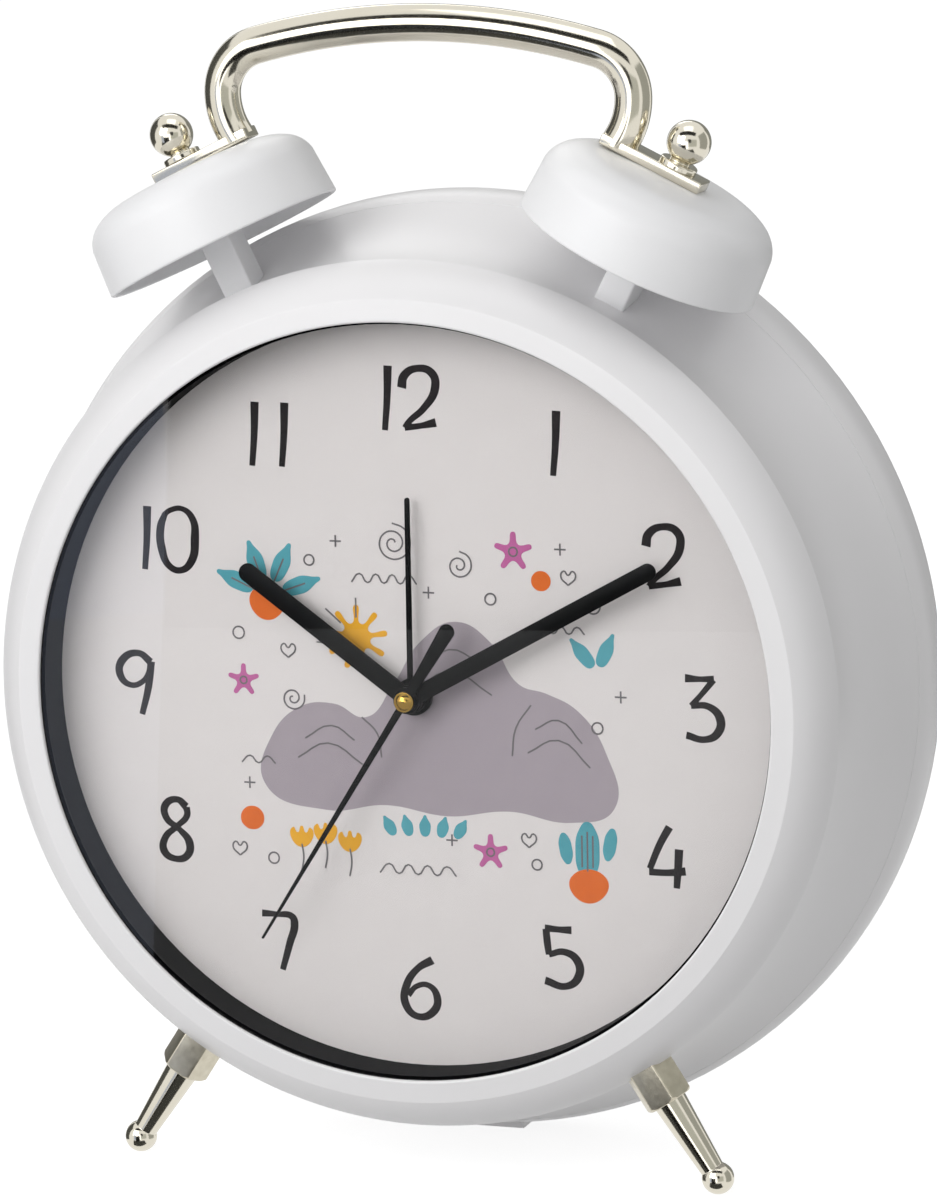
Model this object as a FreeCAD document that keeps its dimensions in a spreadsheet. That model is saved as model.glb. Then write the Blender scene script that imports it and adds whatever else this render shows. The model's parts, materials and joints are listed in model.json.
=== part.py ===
"""Jumbo twin-bell alarm clock on two plated feet, modelled piece by piece.

Units are millimetres. The row frame has +Z up, the dial faces -Y, and the origin lies on the
resting plane under the middle of the clock's width and depth.

Most pieces are drawn in the case frame: local Z is the depth behind the bezel's front plane,
local X points right and local Y points down, so a profile turned about Z is a part of the case.
Bells, posts and finials are drawn in a bell frame and feet in a foot frame, whose local Z
points away from the clock's axis.
"""

import FreeCAD, Part
import math
import os

import Sketcher

Vector = FreeCAD.Vector

DRIVING_SIZES = {
    # Case: the widest radius and the whole depth, then steps from there to the front
    "cover_radius": 120.4,
    "case_depth": 82.0,
    "cover_round": 17.0,
    "cover_length": 29.1,
    "swell": 2.1,
    "swell_length": 8.1,
    "drum_flare": 11.4,
    "bezel_overhang": 1.8,
    "bezel_flank": 8.7,
    "bezel_face": 5.6,
    # The rest moulded under the rear cover, which stands on the table
    "rest_drop": 1.1,
    "rest_root": 1.9,
    "rest_width": 24.0,
    "rest_depth": 8.0,
    "rest_forward": 2.0,
    # Bezel, lens and the black wall behind it
    "bezel_crown_depth": 0.6,
    "bezel_depth": 11.5,
    "bezel_flank_bend": 20.0,
    "bezel_wall": 2.6,
    "bezel_edge_wall": 2.8,
    "bezel_lip": 1.3,
    "lens_overlap": 2.4,
    "lens_thickness": 2.0,
    "wall_thickness": 3.0,
    "dial_depth": 14.7,
    "dial_thickness": 0.8,
    # Drum and rear cover
    "shell_wall": 2.4,
    "rim_wall": 2.1,
    "drum_front_wall": 2.0,
    "drum_rim_depth": 8.0,
    "dial_plate": 2.0,
    "seam_lip": 2.5,
    "seam_lip_wall": 1.8,
    "seam_lip_inset": 5.04,
    "seam_edge_wall": 1.5,
    # Recess in the back, with knobs, switch and battery door
    "recess_width": 100.0,
    "recess_height": 76.0,
    "recess_depth": 10.0,
    "recess_corner": 12.0,
    "battery_drop": 22.0,
    "tray_length": 56.0,
    "tray_width": 16.4,
    "tray_depth": 15.6,
    "tray_wall": 1.6,
    "door_length": 59.4,
    "door_width": 21.4,
    "door_thickness": 1.8,
    "door_pin_radius": 0.7,
    "door_pin_length": 0.8,
    "rib_length": 12.0,
    "rib_width": 1.5,
    "rib_height": 1.0,
    "rib_inset": 1.5,
    "battery_radius": 7.1,
    "battery_length": 49.2,
    "battery_nub_radius": 2.7,
    "battery_nub_length": 1.1,
    "contact_size": 12.0,
    "contact_sheet": 0.5,
    "spring_wire": 0.35,
    "spring_turns": 4.0,
    "switch_rise": 27.0,
    "switch_length": 5.5,
    "switch_width": 4.4,
    "switch_height": 3.4,
    "switch_travel": 5.0,
    "switch_flange_length": 18.0,
    "switch_flange_width": 9.0,
    "switch_flange": 1.2,
    "buzzer_radius": 10.0,
    "buzzer_thickness": 3.0,
    "buzzer_out": 30.0,
    "buzzer_rise": 23.0,
    "sound_hole_radius": 1.0,
    "sound_hole_ring": 5.0,
    # Screws of the rear cover
    "screw_inset": 11.476,
    "screw_radius": 1.5,
    "screw_length": 20.0,
    "screw_head_radius": 3.0,
    "screw_head": 2.2,
    "boss_radius": 4.0,
    "pilot_spare": 2.0,
    "well_radius": 4.8,
    "well_depth": 14.0,
    "well_length": 8.0,
    # Bells, posts, handle and finials
    "bell_angle": 26.2,
    "bell_depth": 30.5,
    "bell_clearance": 1.0,
    "bell_radius": 31.1,
    "bell_shoulder_radius": 30.3,
    "bell_shoulder_height": 12.2,
    "bell_brow_radius": 25.6,
    "bell_brow_height": 18.1,
    "bell_top_radius": 18.6,
    "bell_top_height": 20.0,
    "bell_height": 20.6,
    "bell_shoulder_bend": 8.4,
    "bell_brow_bend": 15.0,
    "bell_wall": 1.6,
    "post_width": 8.0,
    "post_depth": 11.0,
    "post_sink": 2.0,
    "post_seat": 1.4,
    "stud_radius": 2.0,
    "stud_length": 9.0,
    "stud_spare": 1.0,
    "post_screw_length": 13.0,
    "post_screw_head_radius": 3.4,
    "post_screw_head": 2.4,
    "plate_thickness": 2.8,
    "plate_depth": 8.5,
    "plate_inner_reach": 19.5,
    "plate_outer_reach": 8.0,
    "collar_radius": 4.8,
    "collar_thickness": 1.6,
    "neck_radius": 2.6,
    "finial_radius": 5.45,
    "finial_rise": 6.85,
    "handle_top_bend": 166.5,
    "handle_corner_bend": 12.25,
    "handle_foot_bend": 18.5,
    "handle_foot_turn": 32.0,
    "handle_foot_run": 2.2,
    "handle_foot_inset": 15.6,
    "handle_foot_lift": 0.88,
    "handle_ridge": 1.12,
    "handle_thickness": 9.3,
    "handle_depth": 9.0,
    # Feet
    "foot_angle": 32.9,
    "foot_depth": 15.0,
    "foot_head_side": 6.6,
    "foot_head_length": 11.1,
    "foot_sink": 4.0,
    "foot_leg_radius": 4.3,
    "foot_ankle_radius": 3.0,
    "foot_ball_radius": 4.05,
    "foot_flat": 0.35,
    "foot_stud_length": 6.0,
    # Hands
    "alarm_hand_lift": 4.1,
    "hour_hand_lift": 5.6,
    "minute_hand_lift": 7.1,
    "second_hand_lift": 8.6,
    "cap_height": 1.2,
    "hand_sheet": 0.5,
    "hand_boss": 0.9,
    "alarm_hand_length": 50.0,
    "alarm_hand_width": 1.3,
    "hour_hand_length": 53.5,
    "hour_hand_width": 4.8,
    "minute_hand_length": 73.0,
    "minute_hand_width": 4.3,
    "second_hand_length": 73.0,
    "second_hand_root": 1.9,
    "second_hand_tip": 0.6,
    "second_tail_length": 23.0,
    "second_tail_width": 4.0,
    "second_tail_neck": 2.2,
    "second_tail_root": 2.0,
    "alarm_boss_radius": 3.8,
    "hour_boss_radius": 3.6,
    "minute_boss_radius": 3.3,
    "second_boss_radius": 2.6,
    "cap_radius": 2.5,
    # Movement
    "movement_size": 60.0,
    "movement_corner": 5.0,
    "movement_wall": 1.5,
    "movement_split": 12.5,
    "movement_depth": 20.0,
    "bush_radius": 3.3,
    "bush_lift": 1.8,
    "nut_radius": 4.7,
    "nut_thickness": 1.3,
    "washer_thickness": 0.3,
    "second_arbor_radius": 0.55,
    "tube_wall": 0.52,
    "wheel_thickness": 1.0,
    "thin_wheel_thickness": 0.6,
    "setting_radius": 1.2,
    "arbor_radius": 0.5,
    "pivot_depth": 1.0,
    "train_plate": 1.2,
    "train_plate_top": 7.0,
    "train_plate_step": 5.55,
    "train_plate_edge": 0.5,
    "train_plate_drop": 25.0,
    "plate_pillar_radius": 2.0,
    "board_pillar_radius": 1.5,
    "motion_module": 0.6,
    "setting_angle": 35.0,
    "third_module": 0.4,
    "step_module": 0.375,
    "step_angle": 20.0,
    "magnet_radius": 3.0,
    "magnet_length": 2.5,
    "stator_thickness": 0.8,
    "stator_left": 5.0,
    "stator_right": 27.5,
    "stator_top": 0.5,
    "stator_yoke": 14.0,
    "stator_leg": 2.5,
    "stator_tail": 5.0,
    "coil_radius": 4.5,
    "coil_length": 16.9,
    "coil_drop": 21.0,
    "coil_core_radius": 1.5,
    "board_thickness": 1.0,
    "board_left": 27.0,
    "board_width": 23.0,
    "board_top": 11.0,
    "board_height": 16.0,
    "knob_radius": 10.0,
    "knob_thickness": 5.5,
    "knob_bore": 4.0,
    "knob_groove_radius": 0.9,
    # Clearances
    "easy_gap": 0.3,
    "running_gap": 0.08,
    "pin_gap": 0.05,
    "knob_gap": 1.0,
    "bush_gap": 0.2,
    "stud_gap": 0.1,
    "tooth_spare": 0.2,
}

TEETH = {
    "cannon_pinion": 12,
    "minute_wheel": 36,
    "minute_pinion": 10,
    "hour_wheel": 40,
    "alarm_pinion": 12,
    "alarm_wheel": 36,
    "centre_wheel": 48,
    "third_pinion": 6,
    "third_wheel": 45,
    "second_pinion": 6,
    "second_wheel": 48,
    "intermediate_pinion": 8,
    "intermediate_wheel": 40,
    "rotor_pinion": 8,
}

# How far the layers of the movement lie behind the drum's dial plate
LAYER_STEPS = {
    "alarm": 2.1,
    "hour": 3.7,
    "train_plate": 5.2,
    "minute": 5.3,
    "centre": 6.9,
    "third": 8.3,
    "second": 9.5,
    "intermediate": 10.7,
    "rotor": 12.1,
    "stator": 12.9,
    "board": 15.5,
}

# Forms of the teeth, as shares of the module and of the pitch
ADDENDUM = 0.7
DEDENDUM = 1.05
TIP_SHARE = 0.09
ROOT_SHARE = 0.25

# How the bell's wall lies across and along its axis, at its brow and on its top
BROW_WALL = (0.7, 0.8)
TOP_WALL = 1.1

# Clockwise angles of the hands at rest, from twelve o'clock: ten past ten, alarm at twelve
HAND_ANGLES = {"alarm": 0.0, "hour": 306.0, "minute": 61.0, "second": 212.0}

KNOB_GROOVES = 18
SOUND_HOLES = 6

document = FreeCAD.newDocument("twin_bell_clock")
sheet = document.addObject("Spreadsheet::Sheet", "Sizes")
for row, (alias, number) in enumerate(DRIVING_SIZES.items(), start=1):
    sheet.set(f"A{row}", alias)
    sheet.set(f"B{row}", str(number))
    sheet.setAlias(f"B{row}", alias)
document.recompute()


class Size:
    """A number that keeps the sheet formula it comes from."""

    def __init__(self, value, formula):
        self.value = value
        self.formula = formula

    def __add__(self, other):
        other = as_size(other)
        return Size(self.value + other.value, f"({self.formula} + {other.formula})")

    def __sub__(self, other):
        other = as_size(other)
        return Size(self.value - other.value, f"({self.formula} - {other.formula})")

    def __mul__(self, other):
        other = as_size(other)
        return Size(self.value * other.value, f"({self.formula} * {other.formula})")

    def __truediv__(self, other):
        other = as_size(other)
        return Size(self.value / other.value, f"({self.formula} / {other.formula})")

    def __radd__(self, other):
        return as_size(other) + self

    def __rsub__(self, other):
        return as_size(other) - self

    def __rmul__(self, other):
        return as_size(other) * self

    def __neg__(self):
        return as_size(0.0) - self


def as_size(number):
    """Give a plain number the form of a Size."""
    return number if isinstance(number, Size) else Size(float(number), repr(float(number)))


class SheetSizes:
    """The sheet's cells by alias: sizes.case_depth and so on."""

    def __getattr__(self, alias):
        return Size(float(sheet.get(alias)), f"Sizes.{alias}")


sizes = SheetSizes()


def sine(angle):
    """Sine of an angle in degrees."""
    return Size(math.sin(math.radians(angle.value)), f"sin({angle.formula})")


def cosine(angle):
    """Cosine of an angle in degrees."""
    return Size(math.cos(math.radians(angle.value)), f"cos({angle.formula})")


def tangent_bend(across, along):
    """Radius of an arc that starts in line with `along` and drifts by `across`."""
    return (across * across + along * along) / (2 * across)


def bind(owner, path, size):
    """Tie one property or constraint to its formula."""
    owner.setExpression(path, as_size(size).formula)


def root_of(size):
    """Square root of a size."""
    return Size(math.sqrt(size.value), f"sqrt({size.formula})")


# Radii and depths of the case, each a step from its neighbour

SEAM_RADIUS = sizes.cover_radius - sizes.swell
DRUM_FRONT = SEAM_RADIUS - sizes.drum_flare
EDGE_RADIUS = DRUM_FRONT + sizes.bezel_overhang
CROWN_RADIUS = EDGE_RADIUS - sizes.bezel_flank
OPENING_RADIUS = CROWN_RADIUS - sizes.bezel_face
LENS_RADIUS = OPENING_RADIUS + sizes.lens_overlap
COVER_BACK = sizes.cover_radius - sizes.cover_round
SEAM_DEPTH = sizes.case_depth - sizes.cover_length
SWELL_DEPTH = SEAM_DEPTH + sizes.swell_length
WELL_FLOOR = sizes.case_depth - sizes.well_depth
BOSS_END = WELL_FLOOR - sizes.well_length
SCREW_PLACE = (COVER_BACK - sizes.screw_inset) * cosine(as_size(45.0))
AXIS_HEIGHT = sizes.cover_radius + sizes.rest_drop


# Frames

MID_DEPTH = (sizes.case_depth + sizes.bell_depth - sizes.bell_radius) / 2


def place(thing, depth, turn):
    """Put a piece at a depth on the case axis, with a rotation from the row frame."""
    thing.Placement = FreeCAD.Placement(Vector(0, 0, 0), turn)
    bind(thing, "Placement.Base.y", as_size(depth) - MID_DEPTH)
    bind(thing, "Placement.Base.z", AXIS_HEIGHT)


def place_in_case(thing, clock_angle=0.0):
    """Case frame, turned clockwise as seen from the front."""
    facing = FreeCAD.Rotation(Vector(1, 0, 0), -90)
    place(thing, 0.0, facing.multiply(FreeCAD.Rotation(Vector(0, 0, 1), clock_angle)))


def place_at_bell(thing, side):
    """Bell frame: local Z leaves the case axis through the bell."""
    place(thing, sizes.bell_depth, FreeCAD.Rotation(Vector(0, 1, 0), side * sizes.bell_angle.value))


def place_at_foot(thing, side):
    """Foot frame: local Z leaves the case axis through the foot."""
    lean = side * (180.0 - sizes.foot_angle.value)
    place(thing, sizes.foot_depth, FreeCAD.Rotation(Vector(0, 1, 0), lean))


# Sketches and features

def new_body(label):
    """An empty body whose label names the piece."""
    body = document.addObject("PartDesign::Body", label)
    body.Label = label
    return body


def sketch_on(body, role="XY_Plane", lift=0.0):
    """A sketch on one of the body's own planes, lifted along that plane's normal."""
    sketch = body.newObject("Sketcher::SketchObject", "Outline")
    plane = next(f for f in body.Origin.OriginFeatures if f.Role == role)
    sketch.AttachmentSupport = (plane, [""])
    sketch.MapMode = "FlatFace"
    bind(sketch, "AttachmentOffset.Base.z", lift)
    return sketch


def pin_point(sketch, edge, end, x, y):
    """Hold one end of an edge at sheet-driven coordinates."""
    for kind, size, axis in (("DistanceX", as_size(x), -2), ("DistanceY", as_size(y), -1)):
        if abs(size.value) < 1e-9:
            sketch.addConstraint(Sketcher.Constraint("PointOnObject", edge, end, axis))
            continue
        number = sketch.addConstraint(Sketcher.Constraint(kind, -1, 1, edge, end, size.value))
        bind(sketch, f"Constraints[{number}]", size)


def arc_between(first, last, radius, side):
    """Short arc of a radius; side +1 turns left on the way from first to last."""
    chord = last - first
    middle = (first + last) * 0.5
    height = math.sqrt(max(radius * radius - chord.Length ** 2 / 4, 0.0))
    centre = middle + Vector(-chord.y, chord.x, 0).normalize() * height * side
    ends = (first, last) if side > 0 else (last, first)
    angles = [math.atan2(p.y - centre.y, p.x - centre.x) for p in ends]
    return Part.ArcOfCircle(Part.Circle(centre, Vector(0, 0, 1), radius), *angles)


def draw(sketch, points, bends=None, closed=True):
    """Join points by lines; bends maps an edge's number to its (radius, side)."""
    bends = bends or {}
    spots = [Vector(as_size(x).value, as_size(y).value, 0) for x, y in points]
    count = len(points) if closed else len(points) - 1
    edges = []
    for number in range(count):
        first = spots[number]
        last = spots[(number + 1) % len(spots)]
        if number in bends:
            radius, side = bends[number]
            radius = as_size(radius)
            edge = sketch.addGeometry(arc_between(first, last, radius.value, side))
            limit = sketch.addConstraint(Sketcher.Constraint("Radius", edge, radius.value))
            bind(sketch, f"Constraints[{limit}]", radius)
            edges.append((edge, 1, 2) if side > 0 else (edge, 2, 1))
        else:
            edge = sketch.addGeometry(Part.LineSegment(first, last))
            edges.append((edge, 1, 2))
    for number, (edge, start, end) in enumerate(edges):
        pin_point(sketch, edge, start, *points[number])
        if closed or number + 1 < count:
            following, its_start, _ = edges[(number + 1) % count]
            joint = Sketcher.Constraint("Coincident", edge, end, following, its_start)
            sketch.addConstraint(joint)
        else:
            pin_point(sketch, edge, end, *points[number + 1])
    return sketch


def draw_circle(sketch, x, y, radius):
    """A circle held by its centre and radius."""
    x, y, radius = as_size(x), as_size(y), as_size(radius)
    circle = Part.Circle(Vector(x.value, y.value, 0), Vector(0, 0, 1), radius.value)
    edge = sketch.addGeometry(circle)
    pin_point(sketch, edge, 3, x, y)
    limit = sketch.addConstraint(Sketcher.Constraint("Radius", edge, radius.value))
    bind(sketch, f"Constraints[{limit}]", radius)
    return sketch


def draw_box(sketch, left, right, low, high, corner=None):
    """A rectangle, with round corners where a radius is given."""
    if corner is None:
        return draw(sketch, [(left, low), (right, low), (right, high), (left, high)])
    left, right, low, high = (as_size(edge) for edge in (left, right, low, high))
    points = [
        (left + corner, low), (right - corner, low), (right, low + corner),
        (right, high - corner), (right - corner, high), (left + corner, high),
        (left, high - corner), (left, low + corner),
    ]
    return draw(sketch, points, {number: (corner, 1) for number in (1, 3, 5, 7)})


def revolve(body, points, bends=None):
    """Turn a closed profile of (radius, depth) points about the body's Z axis."""
    sketch = draw(sketch_on(body, "XZ_Plane"), points, bends)
    turned = body.newObject("PartDesign::Revolution", "Turned")
    turned.Profile = sketch
    turned.ReferenceAxis = (sketch, ["V_Axis"])
    turned.Angle = 360
    return turned


def pad(body, sketch, length, towards_back=True, middle=False):
    """Raise a sketch; towards_back follows the sketch's own normal."""
    feature = body.newObject("PartDesign::Pad", "Raised")
    feature.Profile = sketch
    bind(feature, "Length", length)
    feature.Reversed = not towards_back
    feature.Midplane = middle
    return feature


def pocket(body, sketch, length, towards_back=False, middle=False):
    """Sink a sketch; towards_back follows the sketch's own normal."""
    feature = body.newObject("PartDesign::Pocket", "Sunk")
    feature.Profile = sketch
    bind(feature, "Length", length)
    feature.Reversed = towards_back
    feature.Midplane = middle
    return feature


def disc(label, radius, start, length, bore=None):
    """A round plate or ring in the case frame."""
    body = new_body(label)
    sketch = draw_circle(sketch_on(body, lift=start), 0, 0, radius)
    if bore is not None:
        draw_circle(sketch, 0, 0, bore)
    pad(body, sketch, length)
    place_in_case(body)
    return body


def joined(label, *parts):
    """One piece made of parts that belong together."""
    fused = document.addObject("Part::MultiFuse", label)
    fused.Label = label
    fused.Shapes = list(parts)
    fused.Refine = True
    return fused


def cut_from(label, base, tool):
    """A piece with a tool's volume taken away."""
    cut = document.addObject("Part::Cut", label)
    cut.Label = label
    cut.Base = base
    cut.Tool = tool
    cut.Refine = True
    return cut


def fixed_shape(label, shape, placer):
    """A piece whose shape is worked out here from the sheet's numbers."""
    piece = document.addObject("Part::Feature", label)
    piece.Label = label
    piece.Shape = shape
    placer(piece)
    return piece


# Depths and radii that several pieces share

LENS_FRONT = sizes.bezel_lip
LENS_BACK = LENS_FRONT + sizes.lens_thickness
SEAT_RADIUS = LENS_RADIUS + sizes.easy_gap
PLATE_FRONT = sizes.dial_depth + sizes.dial_thickness
PLATE_BACK = PLATE_FRONT + sizes.dial_plate
LAYERS = {name: PLATE_BACK + step for name, step in LAYER_STEPS.items()}
FLARE_BEND = tangent_bend(sizes.drum_flare, SEAM_DEPTH - sizes.bezel_depth)
RIM_BACK = sizes.bezel_depth + sizes.drum_rim_depth
FLOOR_BACK = sizes.case_depth - sizes.recess_depth
FLOOR_FRONT = FLOOR_BACK - sizes.shell_wall
RIM_REACH = sizes.cover_radius + sizes.bell_clearance
CROWN_REACH = RIM_REACH + sizes.bell_height
PLATE_TOP = CROWN_REACH + sizes.plate_thickness
FOOT_HEAD_END = DRUM_FRONT + sizes.foot_head_length
FOOT_BALL_REACH = ((AXIS_HEIGHT - sizes.foot_ball_radius + sizes.foot_flat)
                   / cosine(sizes.foot_angle))
ALARM_HAND_FRONT = sizes.dial_depth - sizes.alarm_hand_lift
HOUR_HAND_FRONT = sizes.dial_depth - sizes.hour_hand_lift
MINUTE_HAND_FRONT = sizes.dial_depth - sizes.minute_hand_lift
SECOND_HAND_FRONT = sizes.dial_depth - sizes.second_hand_lift
BUSH_END = sizes.dial_depth - sizes.bush_lift
MOVEMENT_INNER = PLATE_BACK + sizes.movement_wall
MOVEMENT_SPLIT = PLATE_BACK + sizes.movement_split
MOVEMENT_BACK = PLATE_BACK + sizes.movement_depth
MOVEMENT_CEILING = MOVEMENT_BACK - sizes.movement_wall
MINUTE_BORE = sizes.second_arbor_radius + sizes.running_gap
MINUTE_TUBE = MINUTE_BORE + sizes.tube_wall
HOUR_BORE = MINUTE_TUBE + sizes.running_gap
HOUR_TUBE = HOUR_BORE + sizes.tube_wall
ALARM_BORE = HOUR_TUBE + sizes.running_gap
ALARM_TUBE = ALARM_BORE + sizes.tube_wall
BUSH_BORE = ALARM_TUBE + sizes.running_gap
PIVOT_HOLE = sizes.arbor_radius + sizes.running_gap
SETTING_HOLE = sizes.setting_radius + sizes.running_gap


def gear_distance(module, first, second):
    """Distance between the axes of two meshed wheels."""
    return module * ((TEETH[first] + TEETH[second]) / 2)


SETTING_REACH = gear_distance(sizes.motion_module, "cannon_pinion", "minute_wheel")
THIRD_REACH = gear_distance(sizes.third_module, "second_pinion", "third_wheel")
STEP_REACH = gear_distance(sizes.step_module, "intermediate_pinion", "second_wheel")
ROTOR_STEP = gear_distance(sizes.step_module, "intermediate_wheel", "rotor_pinion")

# Places of the arbors in the case frame, where Y points down
TIME_SETTING = (-SETTING_REACH * cosine(sizes.setting_angle),
                -SETTING_REACH * sine(sizes.setting_angle))
ALARM_SETTING = (SETTING_REACH * cosine(sizes.setting_angle),
                 -SETTING_REACH * sine(sizes.setting_angle))
CENTRE_SPOT = (as_size(0.0), as_size(0.0))
THIRD_SPOT = (as_size(0.0), THIRD_REACH)
INTERMEDIATE_SPOT = (STEP_REACH * cosine(sizes.step_angle), STEP_REACH * sine(sizes.step_angle))
ROTOR_SPOT = ((STEP_REACH + ROTOR_STEP) * cosine(sizes.step_angle),
              (STEP_REACH + ROTOR_STEP) * sine(sizes.step_angle))


# Case

def make_bezel():
    """White front ring: nearly flat face, round flank, sharp rear edge, lens seat behind the lip."""
    body = new_body("bezel")
    inner_edge = EDGE_RADIUS - sizes.bezel_edge_wall
    points = [
        (OPENING_RADIUS, 0.0),
        (CROWN_RADIUS, sizes.bezel_crown_depth),
        (EDGE_RADIUS, sizes.bezel_depth),
        (inner_edge, sizes.bezel_depth),
        (CROWN_RADIUS, LENS_BACK),
        (SEAT_RADIUS, LENS_BACK),
        (SEAT_RADIUS, LENS_FRONT),
        (OPENING_RADIUS, LENS_FRONT),
    ]
    bend = sizes.bezel_flank_bend
    revolve(body, points, {1: (bend, 1), 3: (bend - sizes.bezel_wall, -1)})
    place_in_case(body)
    return body


def make_drum_form():
    """Solid outer form of the drum, used to seat posts and feet on it."""
    body = new_body("drum_form")
    points = [
        (0.0, sizes.bezel_depth), (DRUM_FRONT, sizes.bezel_depth),
        (SEAM_RADIUS, SEAM_DEPTH), (0.0, SEAM_DEPTH),
    ]
    revolve(body, points, {1: (FLARE_BEND, -1)})
    place_in_case(body)
    return body


def make_front_housing():
    """Drum with a concave flare, lens tube, dial plate and screw bosses."""
    body = new_body("drum")
    inner_front = DRUM_FRONT - sizes.drum_front_wall
    points = [
        (sizes.bush_radius + sizes.bush_gap, PLATE_FRONT),
        (SEAT_RADIUS, PLATE_FRONT),
        (SEAT_RADIUS, LENS_BACK + sizes.easy_gap),
        (SEAT_RADIUS + sizes.rim_wall, LENS_BACK + sizes.easy_gap),
        (SEAT_RADIUS + sizes.rim_wall, sizes.bezel_depth),
        (DRUM_FRONT, sizes.bezel_depth),
        (SEAM_RADIUS, SEAM_DEPTH),
        (SEAM_RADIUS - sizes.shell_wall, SEAM_DEPTH),
        (inner_front, RIM_BACK),
        (SEAT_RADIUS, RIM_BACK),
        (SEAT_RADIUS, PLATE_BACK),
        (sizes.bush_radius + sizes.bush_gap, PLATE_BACK),
    ]
    bends = {5: (FLARE_BEND, -1), 7: (FLARE_BEND + sizes.shell_wall, 1)}
    revolve(body, points, bends)
    bosses = sketch_on(body, lift=PLATE_BACK)
    pilots = sketch_on(body, lift=BOSS_END)
    for x, y in screw_spots():
        draw_circle(bosses, x, y, sizes.boss_radius)
        draw_circle(pilots, x, y, sizes.screw_radius + sizes.pin_gap)
    pad(body, bosses, BOSS_END - PLATE_BACK)
    pocket(body, pilots, sizes.screw_length - sizes.well_length + sizes.pilot_spare)
    place_in_case(body)

    holes = []
    for side in (-1, 1):
        stud = document.addObject("Part::Cylinder", "stud_hole")
        bind(stud, "Radius", sizes.stud_radius + sizes.pin_gap)
        bind(stud, "Height", SEAM_RADIUS)
        place_at_foot(stud, side)
        screw = document.addObject("Part::Cylinder", "screw_hole")
        bind(screw, "Radius", sizes.stud_radius + sizes.easy_gap)
        bind(screw, "Height", SEAM_RADIUS)
        place_at_bell(screw, side)
        holes += [stud, screw]
    rim_room = document.addObject("Part::Cylinder", "inner_room")
    bind(rim_room, "Radius", DRUM_FRONT - sizes.foot_stud_length)
    bind(rim_room, "Height", sizes.case_depth)
    place_in_case(rim_room)
    bores = cut_from("radial_bores", joined("bore_set", *holes), rim_room)
    return cut_from("front_housing", body, bores)


def screw_spots():
    """Places of the four screws of the rear cover, in the case frame."""
    spot = SCREW_PLACE
    return [(spot * x, spot * y) for x in (-1, 1) for y in (-1, 1)]


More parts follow.
